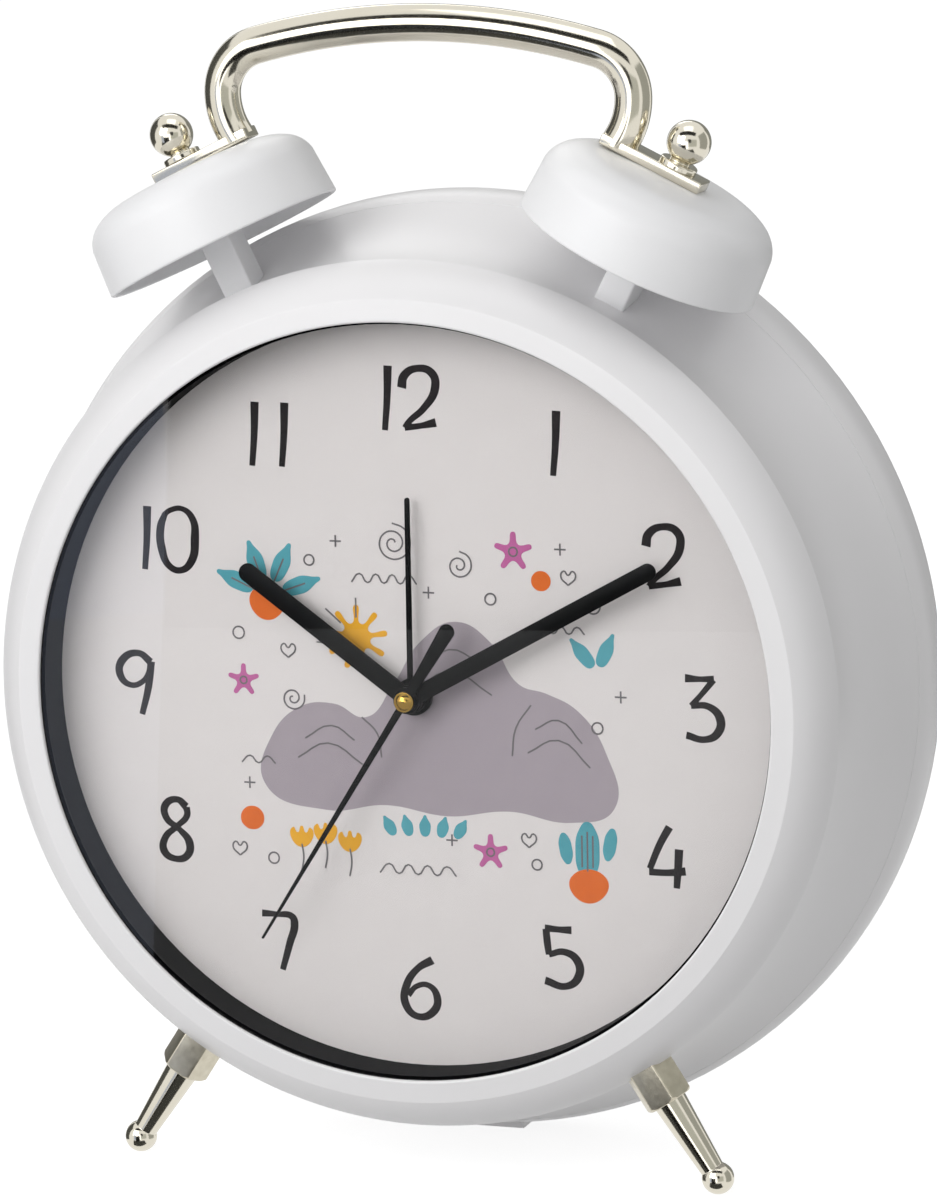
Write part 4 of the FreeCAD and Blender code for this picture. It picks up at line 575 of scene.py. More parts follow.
class Finishes:
    """Every finish of the clock, built once and kept by name."""

    ALL: tuple[Finish | ClearLens, ...] = (
        # ABS, injection moulded with a spark-eroded satin skin: soft broad highlights, no sparkle
        Finish("satin_white_abs", "#F2F1F2", "#EEEDEE", 0.36, 0.05, 30.0, 0.5, 0.003, ior=1.53,
               glow_through=0.05),
        # Polypropylene, moulded smooth: whiter and slightly milky, edges glow a little
        Finish("milky_white_bell", "#F8F8F9", "#F4F4F6", 0.40, 0.05, 20.0, 0.5, 0.003, ior=1.49,
               glow_through=0.25),
        ClearLens(),
        # Black ABS moulded dull so that the dial's light does not show in it
        Finish("matt_black_abs", "#0C0C0E", "#101013", 0.65, 0.04, 10.0, 0.5, 0.01, gleam=0.04),
        # Black ABS with a fine eroded texture: dull grey sheen
        Finish("black_eroded_abs", "#18181B", "#1F1F22", 0.48, 0.06, 8.0, 0.35, 0.02, ior=1.53),
        # Coated card, offset printed: faint fibre mottle, nearly matt
        Finish("coated_card", "#E3DDDC", "#DED8D7", 0.6, 0.05, 9.0, 0.6, 0.004, gleam=0.3),
        # Zinc alloy die casting, polished, bright nickel plated: warm mirror
        Finish("warm_nickel_plate", "#E3DED0", "#DAD4C3", 0.13, 0.03, 14.0, 2.0, 0.0006,
               metallic=1.0),
        # The same plate over the casting as it left the mould: dull, slightly mottled
        Finish("cast_nickel_plate", "#DDD7C6", "#BDB6A2", 0.33, 0.06, 2.0, 1.2, 0.015,
               metallic=1.0),
        # Rolled steel, zinc plated: soft grey metal
        Finish("zinc_plated_steel", "#BFC1C4", "#AEB0B4", 0.30, 0.06, 3.0, 0.3, 0.002,
               metallic=1.0),
        # Brass, turned and polished: yellow mirror, faintly uneven
        Finish("polished_brass", "#D9B25C", "#C99F4A", 0.14, 0.04, 2.0, 0.15, 0.002,
               metallic=1.0),
        # Steel strip, stamped and spray painted satin black
        Finish("satin_black_paint", "#050506", "#08080A", 0.32, 0.05, 6.0, 0.3, 0.003, gleam=0.12),
        # Nitrile rubber: dull black
        Finish("black_rubber", "#141415", "#1B1B1C", 0.70, 0.05, 3.0, 0.3, 0.01),
        # Acetal, moulded: creamy white, waxy
        Finish("acetal_gear", "#E6E3D8", "#DEDACD", 0.42, 0.05, 4.0, 0.3, 0.002, ior=1.48,
               glow_through=0.1),
        # Enamelled copper wire, layer wound along the bobbin
        Finish("enamelled_copper", "#B5602A", "#8A4118", 0.28, 0.05, 1.0, 0.25, 0.03,
               metallic=0.7, stretch=(1.0, 0.15, 0.15)),
        # Glass-fibre board under green solder mask
        Finish("green_solder_mask", "#1E6B3A", "#175630", 0.32, 0.05, 2.5, 0.5, 0.01),
        # Shrink sleeve of a cell, printed dark green: smooth vinyl
        Finish("vinyl_sleeve", "#234B3D", "#1C3F33", 0.25, 0.04, 6.0, 1.0, 0.002, coat=0.3),
    )

    def __init__(self) -> None:
        """Build all the materials."""
        self.materials = {finish.name: finish.material() for finish in self.ALL}

    def add(self, finish: Finish) -> None:
        """Build one more finish and keep it."""
        self.materials[finish.name] = finish.material()

    def __getitem__(self, name: str) -> bpy.types.Material:
        """A material by its finish's name."""
        return self.materials[name]


@dataclass
class Shop:
    """What every sub-assembly needs: the datum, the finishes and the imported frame."""

    datum: Datum
    finishes: Finishes
    frame: dict

    def dress(self, node: str, finish: str) -> None:
        """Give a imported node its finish.

        Args:
            node: the node's name.
            finish: the finish's name.
        """
        piece = self.frame["nodes"][node]
        for place in piece.material_slots:
            place.material = self.finishes[finish]
        LOG.info("node %s wears %s", node, finish)

    def fit(self, piece: Piece, finish: str, slot: str, body: str = "root",
            stands_for: Sequence[str] = ()) -> None:
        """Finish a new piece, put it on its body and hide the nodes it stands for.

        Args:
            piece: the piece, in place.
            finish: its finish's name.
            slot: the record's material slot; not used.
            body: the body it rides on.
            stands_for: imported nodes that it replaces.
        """
        piece.data.materials.clear()
        piece.data.materials.append(self.finishes[finish])
        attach(piece, body)
        if stands_for:
            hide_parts(*stands_for)
        LOG.info("piece %s: %d faces on %s", piece.name, len(piece.data.polygons), body)


# Sub-assemblies


@dataclass
class CaseShell:
    """Bezel, lens, inner wall, drum and rear cover."""

    shop: Shop
    opening_radius: float = 94.4
    crown_radius: float = 100.0
    crown_depth: float = 0.6
    edge_radius: float = 108.7
    edge_depth: float = 11.5
    flank_bend: float = 20.0
    wall: float = 2.6
    edge_wall: float = 2.8
    lip: float = 1.3
    boss_segments: int = 32
    seat_radius: float = 97.1
    seat_depth: float = 3.3
    bore: float = 3.5
    floor_depth: float = 15.5
    floor: float = 2.0
    drum_start: float = 106.9
    drum_end: float = 118.3
    seam_depth: float = 52.9
    flare_bend: float = 80.88
    drum_wall: float = 2.4
    boss_place: float = 65.0
    boss_radius: float = 4.0
    boss_end: float = 60.0
    ring_gap: float = 0.3
    ring_wall: float = 2.1
    gusset: float = 2.0
    sink: float = 0.5
    lip_round: float = 0.25
    rim_round: float = 0.55
    crest_round: float = 0.5
    edge_round: float = 0.35
    seam_round: float = 0.15
    segments: int = 256

    def build(self) -> None:
        """Make the bezel and the drum, and dress the other shells."""
        self.make_bezel()
        self.make_drum()
        for node in ("rear_cover", "battery_door"):
            self.shop.dress(node, "satin_white_abs")
        self.shop.dress("lens", "clear_acrylic")
        self.shop.dress("spacer_ring", "matt_black_abs")

    def make_drum(self) -> None:
        """Flared drum with the dial's floor, a fine seam behind and four screw bosses."""
        deep = self.floor_depth + self.floor
        profile = (
            Outline()
            .to(self.bore, self.floor_depth)
            .to(self.seat_radius, self.floor_depth)
            .to(self.seat_radius, self.seat_depth + self.ring_gap)
            .to(self.seat_radius + self.ring_wall, self.seat_depth + self.ring_gap)
            .to(self.seat_radius + self.ring_wall, self.edge_depth)
            .to(self.drum_start, self.edge_depth, self.crest_round)
            .bend(self.drum_end, self.seam_depth, self.flare_bend, -1, 40, self.seam_round)
            .to(self.drum_end - self.drum_wall, self.seam_depth)
            .bend(self.drum_start - self.gusset, deep + self.gusset,
                  self.flare_bend + self.drum_wall, 1, 30)
            .to(self.seat_radius, deep + self.gusset)
            .to(self.seat_radius, deep)
            .to(self.bore, deep)
            .drawn(closed=True)
        )
        drum = Bench.turn("drum_shell", profile, Matrix.Identity(4), self.segments, ring=True)
        for across in (-self.boss_place, self.boss_place):
            for down in (-self.boss_place, self.boss_place):
                boss = Bench.turn("boss", [(self.boss_radius, deep - self.sink),
                                           (self.boss_radius, self.boss_end)],
                                  Matrix.Translation((across, down, 0.0)),
                                  self.boss_segments)
                Bench.cut(drum, boss, "UNION")
        Bench.finish(drum, self.shop.datum.case())
        self.shop.fit(drum, "satin_white_abs", "white_shell", stands_for=["front_housing"])

    def make_bezel(self) -> None:
        """White front ring: crisp inner lip, nearly flat face, round flank, sharp rear edge."""
        profile = (
            Outline()
            .to(self.opening_radius, self.lip, self.lip_round)
            .to(self.opening_radius, 0.0, self.rim_round)
            .to(self.crown_radius, self.crown_depth, self.crest_round)
            .bend(self.edge_radius, self.edge_depth, self.flank_bend, 1, 24, self.edge_round)
            .to(self.edge_radius - self.edge_wall, self.edge_depth, self.ring_gap)
            .bend(self.crown_radius, self.seat_depth, self.flank_bend - self.wall, -1, 12)
            .to(self.seat_radius, self.seat_depth)
            .to(self.seat_radius, self.lip)
            .drawn(closed=True)
        )
        ring = Bench.turn("bezel_ring", profile, self.shop.datum.case(), self.segments, ring=True)
        self.shop.fit(ring, "satin_white_abs", "white_shell", stands_for=["bezel"])


@dataclass
class Bells:
    """Two bells on rectangular posts, with ball nuts through the handle's plates."""

    shop: Shop
    lean: float = 26.2
    depth: float = 30.5
    rim_reach: float = 121.4
    radius: float = 31.1
    wall: float = 1.6
    post_width: float = 8.0
    post_depth: float = 11.0
    post_foot: float = 107.2
    plate_top: float = 144.8
    ball_reach: float = 151.65
    ball_radius: float = 5.45
    collar_radius: float = 4.8
    collar: float = 1.6
    neck_radius: float = 2.6
    bore: float = 2.1
    crown: float = 20.6
    flat_radius: float = 8.5
    slope: Point = (18.6, 20.0)
    shoulder: Point = (25.6, 18.1)
    skirt: Point = (30.3, 12.2)
    slope_bend: float = 15.0
    shoulder_bend: float = 8.4
    rim_round: float = 0.5
    post_round: float = 0.6
    stud_radius: float = 2.0
    stud_end: float = 132.5
    stud_round: float = 0.3
    seat_round: float = 0.2
    collar_round: float = 0.45
    neck_round: float = 0.3
    waist_round: float = 0.25
    tip: float = 0.05

    def build(self) -> None:
        """Make both sides."""
        for side in Side:
            placing = self.shop.datum.spoke(self.depth, side.value * self.lean)
            self.make_bell(side, placing)
            self.make_post(side, placing)
            self.make_ball_nut(side, placing)

    def make_bell(self, side: Side, placing: Matrix) -> None:
        """Hollow cap with a straight skirt, round shoulder and nearly flat crown."""
        rim, wall = self.rim_reach, self.wall
        (slope, slope_up), (shoulder, shoulder_up) = self.slope, self.shoulder
        skirt, skirt_up = self.skirt
        profile = (
            Outline()
            .to(self.bore, rim + self.crown - wall)
            .to(self.bore, rim + self.crown)
            .to(self.flat_radius, rim + self.crown)
            .to(slope, rim + slope_up)
            .bend(shoulder, rim + shoulder_up, self.slope_bend, -1, 8)
            .bend(skirt, rim + skirt_up, self.shoulder_bend, -1, 12)
            .to(self.radius, rim, self.rim_round)
            .to(self.radius - wall, rim, self.rim_round)
            .to(skirt - wall, rim + skirt_up)
            .bend(shoulder - wall * 0.7, rim + shoulder_up - wall * 0.8,
                  self.shoulder_bend - wall, 1, 10)
            .bend(slope, rim + slope_up - wall * 1.1, self.slope_bend - wall, 1, 6)
            .to(self.flat_radius, rim + self.crown - wall)
            .drawn(closed=True)
        )
        piece = Bench.turn(f"{side.word}_bell_cap", profile, placing, 160, ring=True)
        self.shop.fit(piece, "milky_white_bell", "bell_white", stands_for=[f"{side.word}_bell"])

    def make_post(self, side: Side, placing: Matrix) -> None:
        """Rectangular post with soft edges, let a little into the drum's wall."""
        wide, deep = self.post_width / 2, self.post_depth / 2
        top = self.rim_reach + self.crown - self.wall
        piece = Bench.block(f"{side.word}_bell_post", (-wide, -deep, self.post_foot),
                            (wide, deep, top))
        Bench.round_edges(piece, self.post_round)
        Bench.finish(piece, placing)
        self.shop.fit(piece, "milky_white_bell", "white_shell", stands_for=[f"{side.word}_post"])

    def make_ball_nut(self, side: Side, placing: Matrix) -> None:
        """Polished ball on a waisted neck and a round collar, with its stud."""
        rise = math.sqrt(self.ball_radius ** 2 - self.neck_radius ** 2)
        collar_top = self.plate_top + self.collar
        profile = (
            Outline()
            .to(self.tip, self.stud_end)
            .to(self.stud_radius, self.stud_end, self.stud_round)
            .to(self.stud_radius, self.plate_top)
            .to(self.collar_radius, self.plate_top, self.seat_round)
            .to(self.collar_radius, collar_top, self.collar_round)
            .to(self.neck_radius, collar_top, self.neck_round)
            .to(self.neck_radius, self.ball_reach - rise, self.waist_round)
            .bend(self.ball_radius, self.ball_reach, self.ball_radius, 1, 16)
            .bend(self.tip, self.ball_reach + self.ball_radius, self.ball_radius, 1, 18)
            .drawn(closed=False)
        )
        piece = Bench.turn(f"{side.word}_ball_nut", profile, placing, 64)
        self.shop.fit(piece, "warm_nickel_plate", "warm_plate",
                      stands_for=[f"{side.word}_finial"])


@dataclass
class Handle:
    """Arched bar with a ridge along each side, on a flat plate over each bell."""

    shop: Shop
    top: float = 164.5
    top_bend: float = 166.5
    top_half: float = 44.05
    corner_bend: float = 12.25
    foot_bend: float = 18.5
    foot_turn: float = 32.0
    foot_run: float = 2.2
    thickness: float = 9.3
    depth_across: float = 9.0
    ridge: float = 0.045
    ridge_power: float = 1.6
    section_points: int = 64
    plate_reach: float = 142.0
    plate: float = 2.8
    plate_depth: float = 8.5
    plate_inner: float = 19.5
    plate_outer: float = 8.0
    plate_round: float = 0.35
    crisp_angle: float = 50.0
    mirror_merge: float = 0.01
    lean: float = 26.2
    depth: float = 30.5

    def build(self) -> None:
        """Make the bar and its plates."""
        bar = self.make_bar()
        self.shop.fit(bar, "warm_nickel_plate", "warm_plate", stands_for=["handle"])
        for side in Side:
            self.make_plate(side)

    def section_point(self, angle: float) -> tuple[float, float]:
        """One point of the bar's section: four shallow arcs that meet in soft ridges.

        Args:
            angle: direction of the point round the section, in radians.

        Returns:
            Its places across the depth and along the height.
        """
        across, high = self.depth_across / 2, self.thickness / 2
        ridge = 0.5 + 0.5 * math.cos(4 * angle)
        fill = 1 - self.ridge + self.ridge * ridge ** self.ridge_power
        return across * fill * math.sin(angle), high * fill * math.cos(angle)

    def make_bar(self) -> Piece:
        """Spin the section along the top, round the corner and into the foot, then mirror it."""
        piece = Bench.disc("handle_bar", self.section_points, 1.0, turn=(0.0, math.pi / 2, 0.0))
        for vertex in piece.data.vertices:
            across, high = self.section_point(math.atan2(vertex.co.y, vertex.co.z))
            vertex.co = (0.0, across, self.top + high)
        turn = math.asin(self.top_half / self.top_bend)
        level = math.cos(turn)
        start_z = self.top - self.top_bend * (1 - level)
        centre_x = self.top_half - self.corner_bend * math.sin(turn)
        centre_z = start_z - self.corner_bend * level
        side_x = centre_x + self.corner_bend
        foot_turn = math.radians(self.foot_turn)
        Bench.edit(piece)
        for centre, angle, steps in (
            ((0.0, 0.0, self.top - self.top_bend), turn, 14),
            ((centre_x, 0.0, centre_z), math.pi / 2 - turn, 18),
            ((side_x - self.foot_bend, 0.0, centre_z), foot_turn, 10),
        ):
            bpy.ops.mesh.spin(steps=steps, angle=angle, center=centre, axis=(0.0, -1.0, 0.0))
        Bench.extrude(-self.foot_run * math.sin(foot_turn), 0.0,
                      -self.foot_run * math.cos(foot_turn))
        Bench.mark(piece, lambda spot: spot.x < Bench.HAIR, "FACE")
        bpy.ops.mesh.delete(type="ONLY_FACE")
        Bench.clear()
        Bench.modify(piece, "MIRROR", use_axis=(True, False, False),
                     merge_threshold=self.mirror_merge)
        return Bench.finish(piece, self.shop.datum.axis_point(self.depth), self.crisp_angle)

    def make_plate(self, side: Side) -> None:
        """Flat square-ended plate from the bar's foot to past the ball nut, with soft edges."""
        half = self.plate_depth / 2
        left, right = self.plate_inner, self.plate_outer
        if side is Side.LEFT:
            left, right = right, left
        piece = Bench.block(f"{side.word}_handle_plate", (-left, -half, self.plate_reach),
                            (right, half, self.plate_reach + self.plate))
        Bench.round_edges(piece, self.plate_round)
        Bench.finish(piece, self.shop.datum.spoke(self.depth, side.value * self.lean))
        self.shop.fit(piece, "warm_nickel_plate", "warm_plate")


@dataclass
class Feet:
    """Two plated feet: hexagonal head, tapered leg and ball."""

    shop: Shop
    lean: float = 32.9
    depth: float = 15.0
    head_corner: float = 6.6
    head_start: float = 104.0
    head_reach: float = 118.0
    leg_radius: float = 4.3
    ankle_radius: float = 3.0
    ball_reach: float = 140.3
    ball_radius: float = 4.05
    tip: float = 0.05
    edge_round: float = 0.4
    ankle_round: float = 1.2
    clearance: float = 1.0
    chamfer_depth: float = 2.2
    chamfer_inset: float = 0.1
    chamfer_round: float = 0.6
    crown_depth: float = 0.8
    crown_inset: float = 0.9
    overrun: float = 0.01
    crisp_angle: float = 28.0
    cut_threshold: float = 1e-7

    def build(self) -> None:
        """Make both feet."""
        for side in Side:
            placing = self.shop.datum.spoke(self.depth, side.value * (180.0 - self.lean))
            self.make_foot(side, placing)

    def make_foot(self, side: Side, placing: Matrix) -> None:
        """Head with chamfered corners, then leg and ball turned in one, cut level below."""
        head = Bench.disc(f"{side.word}_foot_head", 6, self.head_corner,
                          turn=(0.0, 0.0, math.pi / 6))
        Bench.edit(head)
        bpy.ops.transform.translate(value=(0.0, 0.0, self.head_start))
        Bench.extrude(0.0, 0.0, self.head_reach - self.head_start)
        Bench.clear()
        Bench.round_edges(head, self.edge_round, 3)
        rounding = (
            Outline()
            .to(self.head_corner + self.clearance, self.head_start - self.clearance)
            .to(self.head_corner + self.clearance, self.head_reach - self.chamfer_depth)
            .to(self.head_corner - self.chamfer_inset, self.head_reach - self.crown_depth,
                self.chamfer_round)
            .to(self.head_corner - self.crown_inset, self.head_reach + self.overrun)
            .drawn(closed=False)
        )
        limit = Bench.turn("foot_limit", rounding, Matrix.Identity(4), 64)
        Bench.cut(head, limit, "INTERSECT")
        Bench.finish(head, placing, self.crisp_angle)
        self.shop.fit(head, "cast_nickel_plate", "warm_plate")

        join = math.sqrt(self.ball_radius ** 2 - self.ankle_radius ** 2)
        profile = (
            Outline()
            .to(self.leg_radius, self.head_reach - self.clearance)
            .to(self.ankle_radius, self.ball_reach - join, self.ankle_round)
            .bend(self.ball_radius, self.ball_reach, self.ball_radius, 1, 14)
            .bend(self.tip, self.ball_reach + self.ball_radius, self.ball_radius, 1, 18)
            .drawn(closed=False)
        )
        leg = Bench.turn(f"{side.word}_foot_leg", profile, placing, 96)
        self.level_off(leg)
        self.shop.fit(leg, "warm_nickel_plate", "warm_plate", stands_for=[f"{side.word}_foot"])

    def level_off(self, leg: Piece) -> None:
        """Cut the ball flat where it stands on the table."""
        Bench.edit(leg)
        bpy.ops.mesh.bisect(plane_co=(0.0, 0.0, 0.0), plane_no=(0.0, 0.0, 1.0), use_fill=True,
                            clear_inner=True, threshold=self.cut_threshold)
        Bench.clear()


@dataclass(frozen=True)
class HandForm:
    """Sizes of one hand, in millimetres, and its place in the train."""

    node: str
    body: str
    depth: float
    length: float
    root_radius: float
    tip_radius: float
    boss_radius: float
    angle: float


@dataclass
class Hands:
    """Four satin black hands and the brass cap."""

    shop: Shop
    sheet: float = 0.5
    boss: float = 0.9
    forms: tuple[HandForm, ...] = (
        HandForm("alarm_hand", "alarm_train", 10.6, 50.0, 0.75, 0.65, 3.8, 0.0),
        HandForm("hour_hand", "hour_train", 9.1, 53.5, 2.4, 2.4, 3.6, 306.0),
        HandForm("minute_hand", "minute_train", 7.6, 73.0, 2.15, 2.15, 3.3, 61.0),
        HandForm("second_hand", "second_train", 6.1, 73.0, 0.95, 0.32, 2.6, 212.0),
    )
    tail_length: float = 23.0
    tail_half: float = 2.0
    tail_neck_half: float = 1.1
    cap_radius: float = 2.5
    cap_depth: float = 4.9
    cap_flange: float = 0.35
    cap_step: float = 0.45
    soften: float = 0.12
    boss_round: float = 0.2
    bore: float = 0.4
    tip: float = 0.03

    def build(self) -> None:
        """Make every hand and the cap."""
        for form in self.forms:
            self.make_hand(form)
        self.make_cap()

    def make_hand(self, form: HandForm) -> None:
        """Stamped bar with a round boss; the second hand has a paddle as its tail."""
        parts = [Bench.bar(form.node + "_blade", 0.0, form.length - form.tip_radius,
                           form.root_radius, form.tip_radius, self.sheet, self.soften)]
        if form.node == "second_hand":
            parts.append(Bench.bar("tail", 0.0, self.tail_half - self.tail_length,
                                   self.tail_neck_half, self.tail_half, self.sheet, self.soften))
        profile = (
            Outline()
            .to(form.boss_radius, 0.0)
            .to(form.boss_radius, self.boss, self.boss_round)
            .to(self.bore, self.boss)
            .drawn(closed=False)
        )
        parts.append(Bench.turn("boss", profile, Matrix.Identity(4), 64))
        hand = Bench.join(*parts)
        Bench.finish(hand, self.shop.datum.face(form.depth + self.boss, form.angle))
        self.shop.fit(hand, "satin_black_paint", "hand_black", form.body, [form.node])

    def make_cap(self) -> None:
        """Turned brass cap: thin flange, small step and dome."""
        height = self.forms[-1].depth - self.cap_depth
        rise = height - self.cap_flange
        dome = self.cap_radius - self.cap_step
        profile = (
            Outline()
            .to(self.cap_radius, 0.0)
            .to(self.cap_radius, self.cap_flange, self.soften)
            .to(dome, self.cap_flange)
            .bend(self.tip, height, (dome ** 2 + rise ** 2) / (2 * rise), 1, 12)
            .drawn(closed=False)
        )
        cap = Bench.turn("second_cap_dome", profile,
                         self.shop.datum.face(self.forms[-1].depth), 64)
        self.shop.fit(cap, "polished_brass", "brass", "second_train", ["second_cap"])


Stroke = tuple[tuple[float, float, float], ...]


class Pen:
    """Draws strokes and filled shapes as thin prints in a plane."""

    INK_HEIGHT = 0.03
    SHAPE_STEPS = 10

    @staticmethod
    def _curve(name: str, lines: Sequence[Stroke], closed: bool, **settings: object) -> Piece:
        """A curve that runs smoothly through the points of each line.

        Args:
            name: the piece's name.
            lines: place and radius of each point.
            closed: whether each line's last point joins its first.
            settings: values by property name of the curve.

        Returns:
            The curve.
        """
        Bench.clear()
        bpy.ops.curve.primitive_bezier_curve_add()
        piece = bpy.context.object
        piece.name = piece.data.name = name
        piece.data.splines.clear()
        for setting, value in settings.items():
            setattr(piece.data, setting, value)
        for line in lines:
            spline = piece.data.splines.new("BEZIER")
            spline.bezier_points.add(len(line) - 1)
            spline.use_cyclic_u = closed
            for spot, (x, y, radius) in zip(spline.bezier_points, line):
                spot.co = (x, y, 0.0)
                spot.radius = radius
                spot.handle_left_type = spot.handle_right_type = "AUTO"
        return piece

    @staticmethod
    def _to_mesh(piece: Piece, flat: float, lift: float) -> Piece:
        """Turn a curve to a mesh, flatten it by a factor and lift it off its plane."""
        Bench.pick(piece)
        bpy.ops.object.convert(target="MESH")
        piece = bpy.context.object
        Bench.edit(piece)
        bpy.ops.transform.resize(value=(1.0, 1.0, flat), center_override=(0.0, 0.0, 0.0))
        bpy.ops.transform.translate(value=(0.0, 0.0, lift))
        Bench.clear()
        return piece

    @classmethod
    def strokes(cls, name: str, lines: Sequence[Stroke], lift: float = 0.0,
                smooth: int = 8) -> Piece:
        """Draw brush strokes; each point is its place and half the stroke's width there.

        Args:
            name: the piece's name.
            lines: the strokes.
            lift: height of the print over the plane.
            smooth: number of segments between two points.

        Returns:
            The strokes as one mesh, in the plane's frame.
        """
        piece = cls._curve(name, lines, False, dimensions="3D", bevel_depth=1.0,
                           bevel_resolution=2, resolution_u=smooth, use_fill_caps=True)
        return cls._to_mesh(piece, cls.INK_HEIGHT, lift)

    @classmethod
    def shape(cls, name: str, outlines: Sequence[Sequence[Point]], lift: float) -> Piece:
        """Fill closed outlines that run smoothly through their points.

        Args:
            name: the piece's name.
            outlines: the outlines.
            lift: height of the print over the plane.

        Returns:
            The shapes as one mesh, in the plane's frame.
        """
        lines = [tuple((x, y, 1.0) for x, y in outline) for outline in outlines]
        piece = cls._curve(name, lines, True, dimensions="2D", fill_mode="BOTH",
                           extrude=cls.INK_HEIGHT, resolution_u=cls.SHAPE_STEPS)
        return cls._to_mesh(piece, 1.0, lift)


# Brush strokes of the numerals: place and half width of each point, 16 mm tall
DIGITS: dict[str, tuple[Stroke, ...]] = {
    "0": (((-3.0, 6.4, 0.8), (-4.3, 3.0, 1.15), (-4.2, -2.5, 1.2), (-2.2, -7.0, 0.95),
           (0.8, -7.9, 0.9), (3.7, -5.4, 1.15), (4.7, 0.0, 1.25), (4.2, 5.2, 1.0),
           (1.6, 7.6, 0.75), (-1.6, 7.2, 0.75), (-3.6, 5.8, 0.7)),),
    "1": (((0.5, 8.0, 1.2), (0.2, 0.0, 1.0), (-0.5, -8.0, 0.85)),),
    "2": (((-4.3, 2.6, 1.3), (-3.6, 5.6, 1.2), (-0.3, 7.5, 0.95), (3.6, 6.4, 1.15),
           (4.3, 2.6, 1.2), (1.2, -2.4, 0.95), (-2.6, -5.8, 0.85), (-3.6, -7.3, 0.9)),
          ((-3.7, -7.2, 0.9), (0.6, -6.6, 0.8), (4.4, -5.7, 1.2))),
    "3": (((-4.7, 7.5, 1.15), (-1.0, 7.4, 0.75), (2.6, 7.6, 0.9)),
          ((2.5, 7.4, 0.9), (-0.6, 3.6, 0.75), (-3.2, 0.7, 0.8)),
          ((-3.2, 0.7, 0.8), (1.2, 0.7, 0.95), (4.1, -2.2, 1.25), (3.4, -5.8, 1.15),
           (0.2, -7.5, 0.9), (-4.5, -6.6, 1.0))),
    "4": (((0.9, 7.3, 1.1), (-1.6, 2.8, 1.0), (-4.2, -3.4, 0.9)),
          ((-4.4, -4.2, 0.95), (0.2, -4.2, 0.9), (4.9, -3.6, 1.15)),
          ((3.3, 1.8, 1.2), (3.0, -3.0, 1.1), (2.6, -8.0, 0.9))),
    "5": (((-4.3, 7.2, 1.0), (-0.6, 7.0, 0.85), (2.6, 7.0, 1.1)),
          ((-4.0, 7.0, 1.0), (-3.7, 3.6, 1.05), (-3.3, 0.5, 0.9)),
          ((-3.3, 0.5, 0.8), (0.6, 1.4, 0.95), (4.1, -0.8, 1.2), (4.2, -4.8, 1.2),
           (1.0, -7.3, 0.95), (-4.4, -6.1, 1.1))),
    "6": (((3.3, 7.2, 1.2), (-0.6, 4.8, 0.95), (-3.6, 0.4, 1.1), (-4.0, -4.4, 1.15),
           (-0.8, -7.5, 0.95), (3.4, -5.9, 1.15), (4.4, -2.4, 1.1), (2.2, 0.6, 0.8),
           (-1.0, 0.2, 0.75), (-3.2, -2.2, 0.8)),),
    "7": (((-4.6, 6.7, 1.0), (-0.6, 6.6, 0.75), (3.4, 6.2, 1.0), (4.0, 4.6, 1.15),
           (2.6, -0.8, 1.05), (0.6, -7.6, 0.85)),),
    "8": (((2.9, 5.8, 1.15), (0.4, 7.6, 0.9), (-2.8, 5.9, 1.1), (-2.6, 2.8, 1.0),
           (1.0, -0.2, 0.85), (3.5, -3.4, 1.2), (2.8, -6.7, 1.1), (-0.4, -7.7, 0.9),
           (-3.4, -5.8, 1.15), (-3.0, -2.4, 1.0), (0.4, 0.8, 0.8), (3.0, 3.6, 0.95),
           (2.9, 5.8, 1.0)),),
    "9": (((4.3, 5.4, 1.1), (0.9, 7.6, 0.9), (-3.4, 5.6, 1.15), (-4.1, 2.0, 1.1),
           (-1.4, -0.6, 0.8), (2.2, 0.6, 0.75), (4.3, 4.2, 0.8)),
          ((4.4, 5.6, 1.1), (3.5, -0.8, 1.05), (1.6, -8.0, 0.85))),
}


